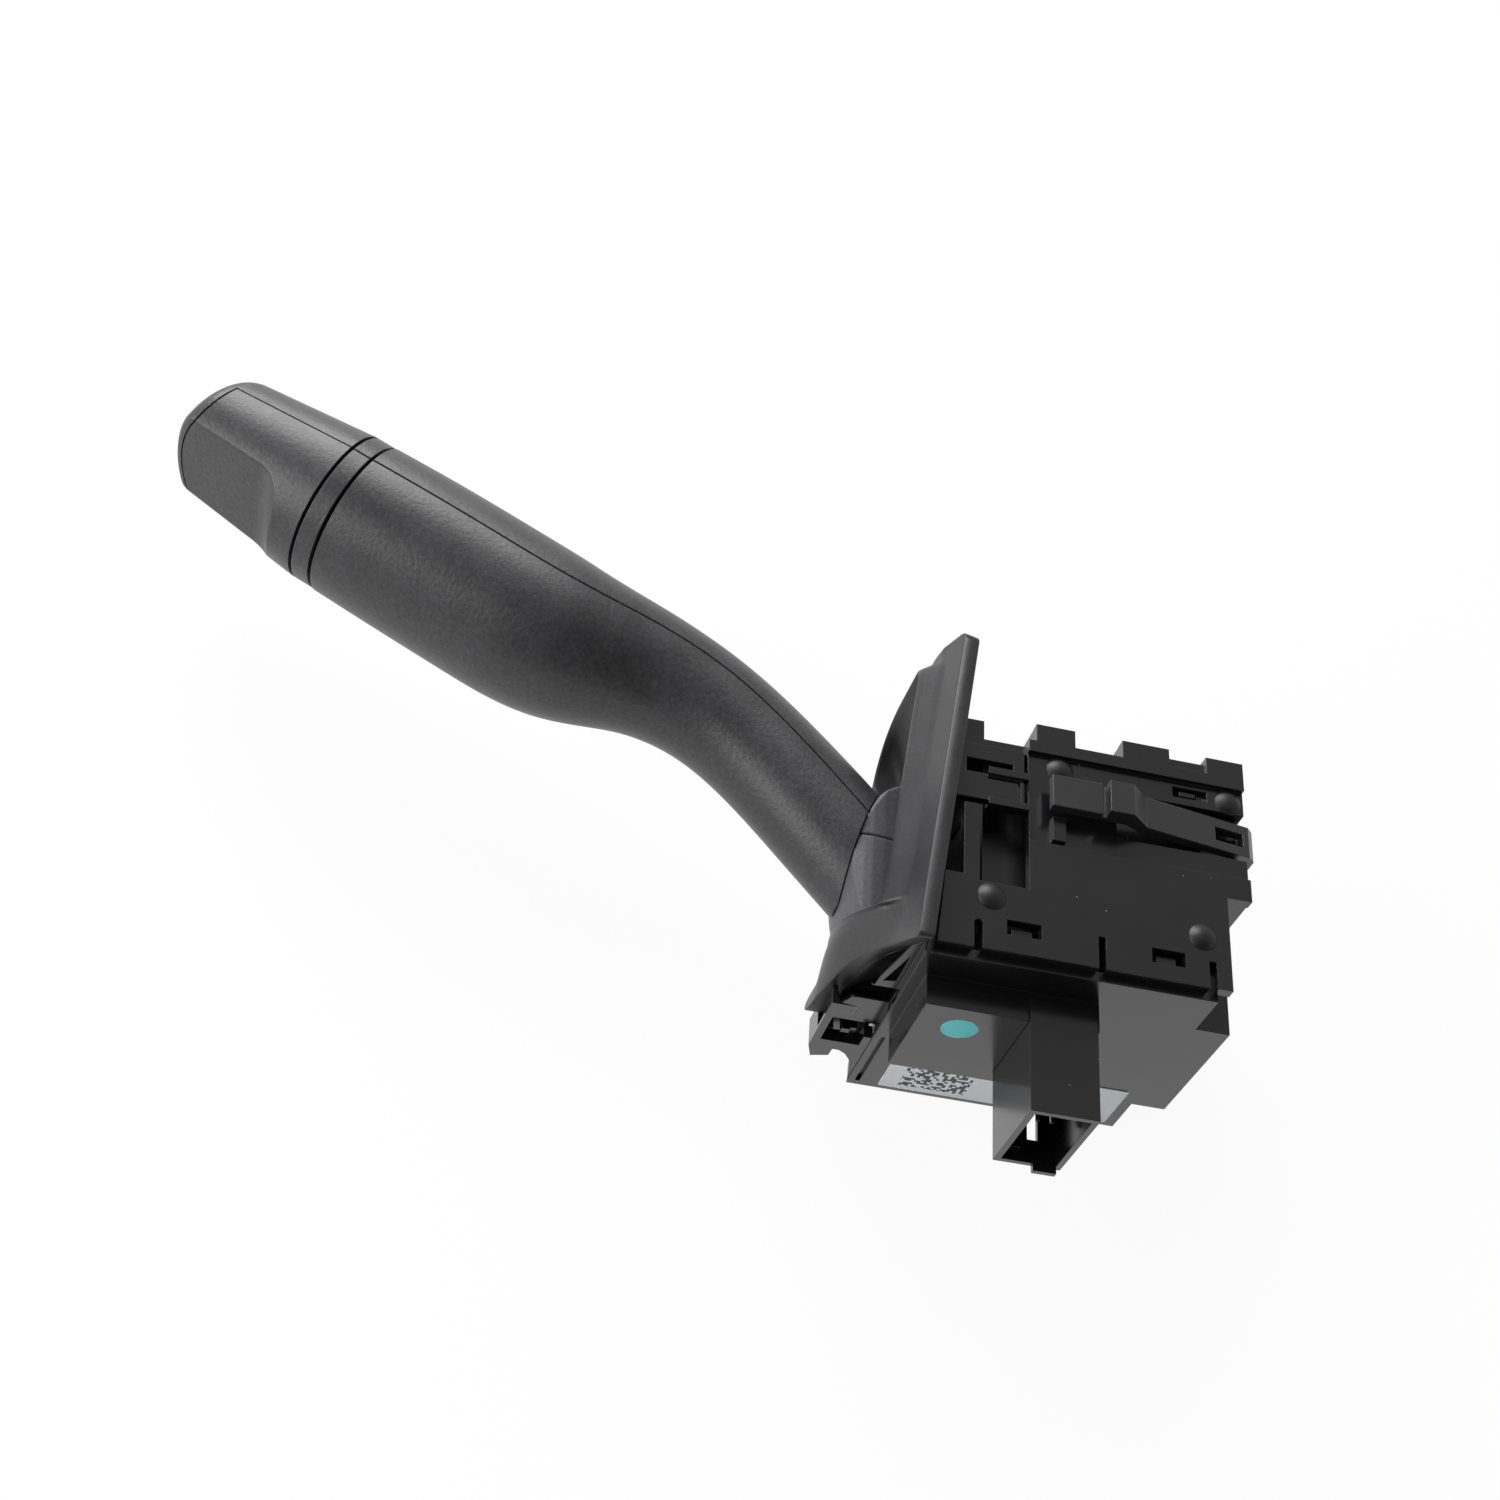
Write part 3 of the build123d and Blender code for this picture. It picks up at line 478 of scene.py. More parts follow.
@dataclass
class Stalk:
    """The curved lever: two shells, a ring and a knob, all split along one parting line."""

    centre_line: tuple[Point, ...] = (  # x, y and half the section's height
        (-29.6, 0.5, 10.85), (-40.1, 11.3, 10.8), (-50.9, 21.85, 10.65), (-62.8, 31.0, 10.95),
        (-76.7, 36.9, 12.45), (-91.2, 40.3, 14.95), (-105.0, 46.1, 15.5), (-118.6, 52.6, 15.4),
        (-132.2, 58.95, 15.05),
    )
    height: float = 32.0  # the centre line's place along Z
    flatness: float = 0.86  # the section's depth over its height at the root
    round_from: float = 0.625  # share of the length from which the section is round
    end: Point = (-131.42, 58.635, 32.0)  # the outer end's axis starts here
    slope: float = 25.4  # degrees between that axis and -X
    ball: float = 27.85  # the arm starts this far from the ball's centre
    root_within: float = 0.3  # it does so within this share of the centre line
    ring_after: float = 0.9  # and meets the ring after this share
    split: float = 2.6  # the parting line's distance from the axis, to the face side
    seam: float = 0.16  # half the parting line's width
    wall: float = 2.0
    rim: float = 0.14  # radius of the shells' rims
    ring_gap: float = 0.3
    ring_width: float = 4.2
    ring_wall: float = 2.2
    radius: float = 14.95  # the ring's radius
    arm_grid: tuple[int, int] = (150, 72)
    ring_grid: tuple[int, int] = (6, 72)
    finish: Optional[Material] = None
    axis: Array = field(init=False)
    across: Array = field(init=False)

    def __post_init__(self) -> None:
        """Works out the directions of the outer end."""
        angle = math.radians(self.slope)
        self.axis = np.array([-math.cos(angle), math.sin(angle), 0.0])
        self.across = np.array([math.sin(angle), math.cos(angle), 0.0])

    def shell(self, name: str, points: Array, faces: Sequence[Sequence[int]], body: Body,
              node: str, wall: float) -> Piece:
        """Makes a moulded shell of the stalk from its skin, with rounded rims.

        Args:
            name: the piece's name.
            points: the skin's vertices, as a list or a grid.
            faces: its faces.
            body: the body that it rides on.
            node: the CAD node that it stands for.
            wall: wall thickness to the inside, mm.

        Returns:
            The piece.
        """
        piece = make_piece(name, points.reshape(-1, 3), faces, self.finish, body, [node])
        solid = piece.modifiers.new("wall", "SOLIDIFY")
        solid.thickness = wall * MM
        solid.offset = -1
        solid.use_even_offset = True
        rim = piece.modifiers.new("rim", "BEVEL")
        rim.width = self.rim * MM
        rim.segments = 2
        rim.limit_method = "ANGLE"
        rim.angle_limit = math.radians(RIM_TURN)
        rim.harden_normals = True
        return piece

    def arm_point(self, t: Array, angle: Array) -> Array:
        """Surface of the arm: centre plus half height times cosine across plus half depth times sine up.

        Args:
            t: place along the centre line, any shape.
            angle: angle round the section, same shape.

        Returns:
            Points, one more axis.
        """
        path = np.array(self.centre_line)
        flat = t.ravel()
        turn = angle.ravel()
        nudge = 1e-4
        here = cubic_path(path, flat)
        run = (cubic_path(path, flat + nudge) - cubic_path(path, flat - nudge))[:, :2]
        run /= np.linalg.norm(run, axis=1)[:, None]
        half = here[:, 2]
        depth = half * between(self.flatness, 1.0, np.minimum(1.0, flat / self.round_from))
        points = np.stack([here[:, 0] + run[:, 1] * half * np.cos(turn),
                           here[:, 1] - run[:, 0] * half * np.cos(turn),
                           self.height + depth * np.sin(turn)], axis=1)
        return points.reshape(t.shape + (3,))

    def arm_half(self, side: Side) -> Piece:
        """One shell of the arm, from the collar's ball to the ring.

        The rows start where the section meets the ball and end at the ring's gap.

        Args:
            side: the half.

        Returns:
            The piece.
        """
        rows, columns = self.arm_grid
        path = np.array(self.centre_line)
        offset = self.split + side.value * self.seam
        share = np.linspace(0, 1, columns)

        def angles(t: Array) -> Array:
            """Angles of the columns at places along the centre line."""
            half = cubic_path(path, t.ravel())[:, 2].reshape(t.shape)
            return self.turn(side, np.arccos(offset / half), share)

        def in_ball(t: Array) -> Array:
            """Tells which columns are still inside the collar's ball."""
            return np.linalg.norm(self.arm_point(t, angles(t)) - np.array(BALL_CENTRE), axis=1) < self.ball

        def short_of_ring(t: Array) -> Array:
            """Tells whether the centre line hasn't reached the ring's gap."""
            way = cubic_path(path, t)[:, :2] - np.array(self.end[:2])
            return way @ self.axis[:2] < -self.ring_gap

        first = halve(np.zeros(columns), np.full(columns, self.root_within), in_ball)
        last = halve(np.full(1, self.ring_after), np.ones(1), short_of_ring)
        t = between(first, last, np.linspace(0, 1, rows)[:, None])
        name = side.name.lower()
        return self.shell(f"stalk_{name}", self.arm_point(t, angles(t)), grid_faces(rows, columns),
                          Body.LEVER, f"arm_{name}_shell", self.wall)

    @staticmethod
    def turn(side: Side, start: Array, share: Array) -> Array:
        """Angle at a share of the way round a half, from its seam at start or minus start."""
        whole = 2 * start if side is Side.FACE else 2 * math.pi - 2 * start
        return side.value * start - whole * share

    def end_points(self, r: Array, angle: Array, s: Array) -> Array:
        """Row-frame points at a distance and angle round the outer end's axis, and a place s along it."""
        return (np.array(self.end) + (r * np.cos(angle))[..., None] * self.across
                + (r * np.sin(angle))[..., None] * UP + s[..., None] * self.axis)

    def ring_half(self, side: Side) -> Piece:
        """Half of the ring between the arm and the knob: a band of constant radius.

        Args:
            side: the half.

        Returns:
            The piece.
        """
        rows, columns = self.ring_grid
        seam = np.arccos((self.split + side.value * self.seam) / self.radius)
        angle = np.tile(self.turn(side, seam, np.linspace(0, 1, columns)), (rows, 1))
        s = np.linspace(self.ring_gap, self.ring_width - self.ring_gap, rows)[:, None]
        name = f"ring_{side.name.lower()}"
        return self.shell(f"turn_{name}", self.end_points(self.radius, angle, s), grid_faces(rows, columns),
                          Body.RING, name, self.ring_wall)


@dataclass
class Knob:
    """The knob: a tapered barrel with a ball end, and a grip flat scooped into its rear side."""

    stalk: Stalk
    start: float = 4.5  # where the knob starts, past the ring's inner gap
    root_radius: float = 14.95
    taper: float = 0.1024  # radius lost per mm
    flat: float = 8.7  # the grip flat's distance from the axis where it starts
    flat_slope: float = 0.0857  # distance by which it closes in, per mm towards the tip
    flat_turn: float = 2.0  # degrees that it is turned about the axis
    scoop_start: float = 16.3  # the flat starts here and scoops out towards the ring
    scoop_radius: float = 6.6
    scoop_climb: float = 12.0  # rise per mm behind the scoop, clear of the barrel
    edge_blend: float = 0.30  # softness of the edge between flat and barrel, mm
    dome_centre: Point = (-3.9, -0.2, 12.6)
    dome_radius: float = 23.0
    cap: float = 1.5  # the face shell's end cap stands this far beyond the rear shell
    cap_edge: float = 1.9  # radius of the cap's rim
    cap_drop: float = 0.78  # share of the cap's height over which the rim is rounded
    wall: float = 2.0
    face_wall: float = 1.5
    guess: float = 30.0  # first guess of the tip's place
    repeats: int = 30  # steps of the search for it
    settling: int = 12  # rounds in which a grid's last row settles
    rear_rows: tuple[int, int, int] = (14, 46, 60)  # below the scoop, in it and beyond it
    rear_columns: tuple[int, int] = (34, 72)  # beside the flat and across it
    crowding: float = 1.7  # power by which the columns crowd towards the flat's edges
    least_spread: float = 0.05  # least half angle of the flat, so that its columns stay apart
    row_gap: float = 0.02  # gap kept below the scoop's first row
    face_grid: tuple[int, int] = (70, 61)
    rim_steps: int = 9
    dome_steps: int = 22

    def barrel_at(self, s: Array) -> Array:
        """Radius of the barrel: the root radius less an even taper."""
        return self.root_radius - self.taper * (s - self.start)

    def flat_at(self, s: Array) -> Array:
        """Distance of the grip flat from the axis.

        It closes in evenly towards the tip. Before the scoop's start it also rises as the radius
        less the root of the squared radius less the squared distance, then steeply, clear of
        the barrel.

        Args:
            s: place along the axis.

        Returns:
            Distances.
        """
        back = np.clip(self.scoop_start - s, 0, None)
        within = np.minimum(back, self.scoop_radius)
        rise = self.scoop_radius - np.sqrt(self.scoop_radius ** 2 - within ** 2)
        return (self.flat - self.flat_slope * (s - self.scoop_start) + rise
                + self.scoop_climb * (back - within))

    def radius_at(self, s: Array, angle: Array) -> Array:
        """Distance of the side surface from the axis: the barrel, cut by the grip flat."""
        facing = np.maximum(-np.cos(angle + math.radians(self.flat_turn)), 1e-3)
        return soft_min(self.barrel_at(s), self.flat_at(s) / facing, self.edge_blend)

    def dome_at(self, r: Array, angle: Array) -> Array:
        """Place along the axis of the end's ball surface: its centre plus the root of a squared gap."""
        n, k = r * np.cos(angle) - self.dome_centre[0], r * np.sin(angle) - self.dome_centre[1]
        return self.dome_centre[2] + np.sqrt(self.dome_radius ** 2 - n ** 2 - k ** 2)

    def meeting(self, angle: Array, drop: float) -> tuple[Array, Array]:
        """Radius and place where the side surface meets the lowered end surface.

        It is found by repeating: radius from place, place from radius.

        Args:
            angle: angles round the axis.
            drop: how far the end surface is lowered.

        Returns:
            Radii and places along the axis.
        """
        s = np.full(angle.shape, self.guess)
        for _ in range(self.repeats):
            s = between(s, self.dome_at(self.radius_at(s, angle), angle) - drop, 0.5)
        return self.radius_at(s, angle), s

    def seam_angle(self, side: Side, s: Array) -> Array:
        """Angle of the parting line at a place along the knob, from the face side."""
        return np.arccos((self.stalk.split + side.value * self.stalk.seam) / self.barrel_at(s))

    def rear_angles(self, s: Array) -> Array:
        """Angles of the rear half's columns, from seam to seam, with columns on the flat's edges.

        The columns crowd towards the edges: a power curve up to each edge, a cosine across the flat.

        Args:
            s: (rows, columns) places along the axis.

        Returns:
            (rows, columns) angles.
        """
        beside, across = self.rear_columns
        first = self.seam_angle(Side.REAR, s[:, :1])
        last = 2 * np.pi - first
        mark = s[:, beside:beside + 1]
        ratio = np.clip(self.flat_at(mark) / self.barrel_at(mark), 0, 1)
        spread_angle = np.maximum(np.arccos(ratio), self.least_spread)
        middle = np.pi + math.radians(self.flat_turn)
        near, far = middle - spread_angle, middle + spread_angle
        up = 1 - (1 - np.arange(beside)[None, :] / beside) ** self.crowding
        over = 0.5 * (1 - np.cos(np.pi * np.arange(across + 1)[None, :] / across))
        return -np.concatenate([between(first, near, up), between(near, far, over),
                                between(last, far, up[:, ::-1])], axis=1)

    def rear_grid(self, drop: float) -> tuple[Array, Array]:
        """Places and angles of the rear half's grid, from the ring's gap to the lowered end surface.

        Rows are evenly spaced along the barrel, then by the scoop's arc angle, then evenly to the end.

        Args:
            drop: how far below the end surface it stops.

        Returns:
            Two (rows, columns) arrays: places along the axis, and angles.
        """
        low, scoop, high = self.rear_rows
        arc = np.linspace(np.pi / 2, 0, scoop)
        below = self.scoop_start - self.scoop_radius - self.row_gap
        lower = np.linspace(self.start, below, low, endpoint=False)
        fixed = np.concatenate([lower, self.scoop_start - self.scoop_radius * np.sin(arc)])[:, None]
        share = np.linspace(0, 1, high + 1)[1:, None]
        columns = 2 * self.rear_columns[0] + self.rear_columns[1] + 1
        top = np.full(columns, self.guess)
        for _ in range(self.settling):
            upper = between(self.scoop_start, top[None, :], share)
            s = np.concatenate([np.broadcast_to(fixed, (len(fixed), columns)), upper])
            angle = self.rear_angles(s)
            _, top = self.meeting(angle[-1], drop)
        return s, angle

    def rear_shell(self) -> Piece:
        """Shell with the grip flat, up to the cap's rim.

        Returns:
            The piece.
        """
        s, angle = self.rear_grid(self.cap + 2 * self.stalk.seam)
        points = self.stalk.end_points(self.radius_at(s, angle), angle, s)
        return self.stalk.shell("knob_rear", points, grid_faces(*s.shape), Body.KNOB,
                                "knob_rear_shell", self.wall)

    def cap_loops(self, around: Array) -> Array:
        """Rings of points over the cap: where it meets the side, a quarter round and the ball surface.

        Args:
            around: angles round the axis.

        Returns:
            (rings, angles, 3) points.
        """
        edge, _ = self.meeting(around, 0.0)
        bands = [self.meeting(around, self.cap)]
        for turn in np.linspace(0, math.pi / 2, self.rim_steps):
            r = edge - self.cap_edge * (1 - math.cos(turn))
            bands.append((r, self.dome_at(r, around) - self.cap_drop * self.cap * (1 - math.sin(turn))))
        for part in np.linspace(0.93, 0.05, self.dome_steps):
            r = (edge - self.cap_edge) * part
            bands.append((r, self.dome_at(r, around)))
        return np.stack([self.stalk.end_points(r, around, s) for r, s in bands])

    def face_shell(self) -> Piece:
        """Shell on the face side with the domed cap that closes the whole end.

        The side skin and the cap's rings share their edge vertices, and a fan closes the cap's pole.

        Returns:
            The piece.
        """
        rows, columns = self.face_grid
        top = np.full(columns, self.guess)
        for _ in range(self.settling):
            s = between(self.start, top[None, :], np.linspace(0, 1, rows)[:, None])
            seam = self.seam_angle(Side.FACE, s[:, :1])
            angle = Stalk.turn(Side.FACE, seam, np.linspace(0, 1, columns))
            _, top = self.meeting(angle[-1], self.cap)
        skin = self.stalk.end_points(self.radius_at(s, angle), angle, s).reshape(-1, 3)
        _, rear = self.rear_grid(self.cap)
        around = np.concatenate([angle[-1], rear[-1, 1:-1]])
        loops = self.cap_loops(around)
        count = len(around)
        zero = np.zeros(1)
        pole = self.stalk.end_points(zero, zero, self.dome_at(zero, zero))
        index = np.arange(len(loops) * count) + len(skin) - columns
        index[:columns] = np.arange(columns) + (rows - 1) * columns
        cap = index[grid_faces(len(loops), count, wrap_columns=True)]
        last = index[-count:]
        points = np.concatenate([skin, loops.reshape(-1, 3)[columns:], pole])
        fan = np.stack([last, np.roll(last, -1), np.full(count, len(points) - 1)], axis=1)
        faces = grid_faces(rows, columns).tolist() + cap.tolist() + fan.tolist()
        return self.stalk.shell("knob_face", points, faces, Body.KNOB, "knob_face_shell", self.face_wall)


@dataclass(frozen=True)
class Outline:
    """Four-cornered outline on the bezel's plane: each corner is (along, z, radius)."""

    corners: tuple[Point, ...]

    def points(self, per_side: int = 26, per_corner: int = 12) -> Array:
        """Samples the outline: straight sides, and an arc of a Bezier curve at each corner.

        Args:
            per_side: points on a side.
            per_corner: points on a corner.

        Returns:
            (n, 2) points of along and z.
        """
        corner = np.array([c[:2] for c in self.corners])
        radius = np.array([c[2] for c in self.corners])
        pieces = []
        for i in range(4):
            here, after, before = corner[i], corner[(i + 1) % 4], corner[i - 1]
            out = (after - here) / np.linalg.norm(after - here)
            back = (before - here) / np.linalg.norm(before - here)
            a, b = here + back * radius[i], here + out * radius[i]
            w = np.linspace(0, 1, per_corner)[:, None]
            pieces.append(a * (1 - w) ** 2 + 2 * here * w * (1 - w) + b * w ** 2)
            end = after - out * radius[(i + 1) % 4]
            pieces.append(between(b, end, np.linspace(0, 1, per_side + 2)[1:-1, None]))
        return np.concatenate(pieces)


@dataclass
class Bezel:
    """Escutcheon round the collar: flange, raised rim, scooped pocket and a swept lower wing.

    A place on it is (along, z): the distance up the near edge and the height along Z.
    """

    foot: Pair = (-28.3, -22.1)  # x and y where the near edge starts
    tilt: float = 6.6  # degrees that the near edge leans from Y
    thickness: float = 2.8
    hollow: float = 3.8  # the wing's lower edge curves in by this much
    hollow_z: Pair = (54.5, 36.9)  # where the curve starts, and its length down
    hollow_fade: Pair = (0.0, 8.0)  # along the edge it fades out here
    arch_rise: float = 3.3  # the wing arches up by this much over the collar's foot
    arch_z: Pair = (45.7, 26.3)  # where the arch starts, and its length down
    arch_in: Pair = (0.0, 9.0)  # along the edge it rises here
    arch_out: Pair = (13.0, 20.0)  # and sinks here
    ball: float = 27.95  # the wing stays outside this radius, clear of the collar
    height_z: tuple[float, ...] = (54.5, 48.2, 44.5, 33.0, 24.0, 17.0)
    heights: tuple[tuple[float, tuple[float, ...]], ...] = (  # place along, heights at height_z
        (-1.0, (0.0, 1.5, 2.4, 6.2, 10.0, 11.2)),
        (4.0, (0.0, 1.7, 3.0, 6.6, 9.2, 10.2)),
        (10.0, (0.0, 2.3, 4.8, 6.6, 7.6, 8.4)),
        (22.0, (0.0, 2.4, 3.2, 4.6, 5.4, 5.6)),
        (40.0, (0.0, 2.4, 2.9, 3.8, 4.0, 3.8)),
        (65.0, (0.0, 2.2, 2.7, 3.2, 2.8, 1.6)),
    )
    edge: Outline = Outline(((-0.6, 54.5, 1.2), (65.0, 54.5, 1.5), (65.0, 18.6, 9.0), (-0.6, 17.6, 5.0)))
    foot_line: Outline = Outline(((9.4, 49.4, 1.4), (62.4, 49.2, 3.6), (63.2, 18.4, 14.0), (10.0, 18.0, 2.5)))
    crest: Outline = Outline(((9.6, 45.7, 1.2), (61.6, 45.7, 3.0), (62.2, 19.6, 14.0), (12.0, 19.4, 2.5)))
    lip: Outline = Outline(((10.0, 45.1, 1.0), (61.0, 45.1, 2.6), (61.6, 20.1, 14.0), (12.4, 20.0, 2.4)))
    mouth: Outline = Outline(((7.2, 43.9, 1.0), (44.4, 43.9, 2.0), (44.4, 20.1, 5.0), (7.2, 20.0, 1.0)))
    crest_z: Pair = (45.7, 26.0)  # the crest's near side, and its length down
    crest_near: float = 5.4  # the rim's height at the near side
    crest_far: float = 0.4  # gain towards the far side
    crest_corner: float = 2.4  # further gain towards the far lower corner
    crest_dip: float = 0.3  # loss at the near lower corner
    corner_fade: Pair = (8.0, 52.0)  # along the edge, both fade out here
    edge_steps: tuple[Pair, ...] = ((0.035, 2.6), (0.0, 0.12), (0.015, 0.0))
    rim_shares: tuple[float, ...] = (0.12, 0.3, 0.5, 0.7, 0.88)
    crest_steps: tuple[Pair, ...] = ((0.1, 0.04), (0.6, 0.02))
    lip_drop: float = 0.3  # the lip lies this far below the crest
    foot_gap: float = 0.12  # beside the collar's foot it lies only this far below it
    under_gap: float = 0.6  # and the pocket at least this far below the wing's face
    foot_fade: Pair = (13.0, 17.0)  # along the edge, the foot's pocket ends here
    scoop_power: float = 1.6  # power by which the pocket's loops gather at the lip
    floor: float = -1.5  # the pocket's deepest height
    floor_wall: float = 1.5  # wall behind it
    finish: Optional[Material] = None

    def base_height(self, place: Array) -> Array:
        """Height of the flange and wing: rows of heights, blended evenly between rows, plus the arch.

        Args:
            place: (n, 2) places.

        Returns:
            Heights over the bezel's plane.
        """
        along, z = place.T
        stations = np.array([station for station, _ in self.heights])
        profiles = np.stack([np.interp(-z, -np.array(self.height_z), row) for _, row in self.heights])
        span = np.clip(np.searchsorted(stations, along, side="right") - 1, 0, len(stations) - 2)
        share = np.clip((along - stations[span]) / (stations[span + 1] - stations[span]), 0, 1)
        index = np.arange(len(along))
        return between(profiles[span, index], profiles[span + 1, index], share) + self.arch(place)

    def arch(self, place: Array) -> Array:
        """Rise of the wing over the collar: a half sine along Z times smooth steps up and down the edge.

        Args:
            place: (n, 2) places.

        Returns:
            Heights to add.
        """
        along, z = place.T
        across = np.sin(np.pi * np.clip((self.arch_z[0] - z) / self.arch_z[1], 0, 1))
        return (self.arch_rise * across * smooth_step(along, *self.arch_in)
                * (1 - smooth_step(along, *self.arch_out)))

    def ball_height(self, place: Array) -> Array:
        """Height at which the bezel's normal through a place meets the ball: the root of a quadratic.

        Args:
            place: (n, 2) places.

        Returns:
            Heights over the bezel's plane.
        """
        tilt = math.radians(self.tilt)
        gap = self.point(place, np.zeros(len(place))) - np.array(BALL_CENTRE)
        middle = gap[:, 0] * math.cos(tilt) - gap[:, 1] * math.sin(tilt)
        return middle + np.sqrt(np.maximum(middle ** 2 - (gap ** 2).sum(axis=1) + self.ball ** 2, 0))

    def crest_height(self, place: Array) -> Array:
        """Height of the rim's crest, which rises to the far lower corner, plus the arch.

        Args:
            place: (n, 2) places.

        Returns:
            Heights over the bezel's plane.
        """
        along, z = place.T
        far = (self.crest_z[0] - z) / self.crest_z[1]
        low = 1 - smooth_step(along, *self.corner_fade)
        gain = far * (self.crest_far + self.crest_corner * low) - self.crest_dip * low * (1 - far)
        return self.crest_near + gain + self.arch(place)

    def point(self, place: Array, height: Array) -> Array:
        """Puts places at given heights over the bezel's plane into the row frame.

        Args:
            place: (n, 2) places.
            height: heights over the bezel's plane.

        Returns:
            (n, 3) points.
        """
        tilt = math.radians(self.tilt)
        along, z = place.T
        x = self.foot[0] + along * math.sin(tilt) - height * math.cos(tilt)
        y = self.foot[1] + along * math.cos(tilt) + height * math.sin(tilt)
        return np.stack([x, y, z], axis=-1)

    def build(self) -> Piece:
        """Carries a closed profile round the mouth, with its own heights at each place.

        From below: the flange's crisp edge and face, the rim's wall and crest, the pocket and the
        underside. Away from the collar's foot the pocket is scooped, its depth one less the square
        of the share left to go. Beside the foot it follows the ball under the wing, then drops.

        Returns:
            The piece.
        """
        edge, foot, crest, lip, mouth = (line.points() for line in (
            self.edge, self.foot_line, self.crest, self.lip, self.mouth))
        drawn_in = np.sin(np.pi * np.clip((self.hollow_z[0] - edge[:, 1]) / self.hollow_z[1], 0, 1))
        edge[:, 0] += self.hollow * drawn_in * (1 - smooth_step(edge[:, 0], *self.hollow_fade))
        edge_h, foot_h = self.base_height(edge), self.base_height(foot)
        crest_h = self.crest_height(crest)
        top_h, lip_h = np.maximum(crest_h, foot_h), crest_h - self.lip_drop
        beside = 1 - smooth_step(lip[:, 0], *self.foot_fade)
        loops = [(between(edge, foot, share), edge_h - drop)
                 for share, drop in ((0.06, self.thickness), *self.edge_steps)]
        for share in np.linspace(0.06, 0.94, 15):
            line = between(edge, foot, share)
            loops.append((line, self.base_height(line)))
        loops.append((between(edge, foot, 0.985), foot_h + 0.05))
        loops += [(between(foot, crest, share), between(foot_h, top_h, share)) for share in self.rim_shares]
        loops += [(between(crest, lip, share), crest_h - drop) for share, drop in self.crest_steps]
        under = np.minimum(crest_h - self.foot_gap, self.ball_height(lip))
        loops.append((lip, between(lip_h, under, beside)))
        for share in np.linspace(0.08, 1.0, 14):
            across = between(share ** self.scoop_power, min(2 * share, 1.0), beside)[:, None]
            line = between(lip, mouth, across)
            scoop = between(self.floor, lip_h, (1 - share) ** 2)
            under = np.minimum(self.ball_height(line), self.base_height(line) - self.under_gap)
            under = between(under, self.floor, max(2 * share - 1, 0.0))
            loops.append((line, between(scoop, under, beside)))
        behind = np.full(len(mouth), self.floor - self.floor_wall)
        loops.append((between(mouth, edge, 0.04), behind))
        for share in (0.3, 0.6, 0.9):
            line = between(mouth, edge, share)
            base = self.base_height(line) - self.thickness
            loops.append((line, np.minimum(base, between(behind, base, share))))
        grid = np.stack([self.point(line, height) for line, height in loops])
        faces = grid_faces(grid.shape[0], grid.shape[1], wrap_rows=True, wrap_columns=True)
        return make_piece("bezel_skin", grid.reshape(-1, 3), faces, self.finish, Body.HOUSING,
                          ["bezel"])


@dataclass
class Markings:
    """Painted inspection dot on the pad under the housing."""

    centre: Point = (-15.6, -28.2, 36.2)
    radius: float = 3.2
    film: float = 0.06  # height of the film of paint
    sunk: float = 0.01  # its underside lies this far inside the pad
    waves: tuple[tuple[int, float, float], ...] = ((3, 0.012, 0.6), (7, 0.008, 0.0))
    count: int = 64
    rings: int = 8
    innermost: float = 0.12  # share of the radius at which the rings end
    fall: float = 0.97  # share of a half circle that the dome's profile follows
    finish: Optional[Material] = None

    def dot(self) -> Piece:
        """A round film of paint: a low dome over the pad, wavy at its edge.

        Formula: radius times one plus the sum of sines of the angle, each (count, size, phase).

        Returns:
            The piece.
        """
        angle = np.linspace(0, 2 * math.pi, self.count, endpoint=False)
        wobble = 1 + sum(size * np.sin(count * angle + phase) for count, size, phase in self.waves)
        share = np.linspace(1.0, self.innermost, self.rings)[:, None]
        r = self.radius * share * wobble[None, :]
        lift = self.film * np.sqrt(1 - (share * self.fall) ** 2) + 0 * r
        x, y, z = self.centre
        outer = np.stack([x + r * np.cos(angle), y - lift, z + r * np.sin(angle)], axis=-1)
        base = outer[0].copy()
        base[:, 1] = y + self.sunk
        poles = [[x, y - self.film, z], [x, y + self.sunk, z]]
        points = np.concatenate([base, outer.reshape(-1, 3), poles])
        around = np.arange(self.count)
        ahead = (around + 1) % self.count
        last = self.rings * self.count
        top, bottom = np.full((2, self.count), [[len(points) - 2], [len(points) - 1]])
        faces = grid_faces(self.rings + 1, self.count, wrap_columns=True).tolist()
        faces += np.stack([last + around, last + ahead, top], axis=1).tolist()
        faces += np.stack([ahead, around, bottom], axis=1).tolist()
        return make_piece("inspection_dot", points, faces, self.finish, Body.HOUSING)


@dataclass(frozen=True)
class SoftLamp:
    """Square area lamp that faces a point on the part."""

    name: str
    at: Point
    size: float  # side of the square, mm
    power: float  # power in watts
    aim: Point = (-60.0, 20.0, 30.0)

    def build(self) -> None:
        """Adds the lamp to the scene."""
        data = bpy.data.lights.new(self.name, "AREA")
        data.shape, data.size, data.energy = "SQUARE", self.size * MM, self.power
        lamp = add_object(self.name, data)
        lamp.location = Vector(self.at) * MM
        way = Vector(self.aim) - Vector(self.at)
        lamp.rotation_euler = way.to_track_quat("-Z", "Y").to_euler()


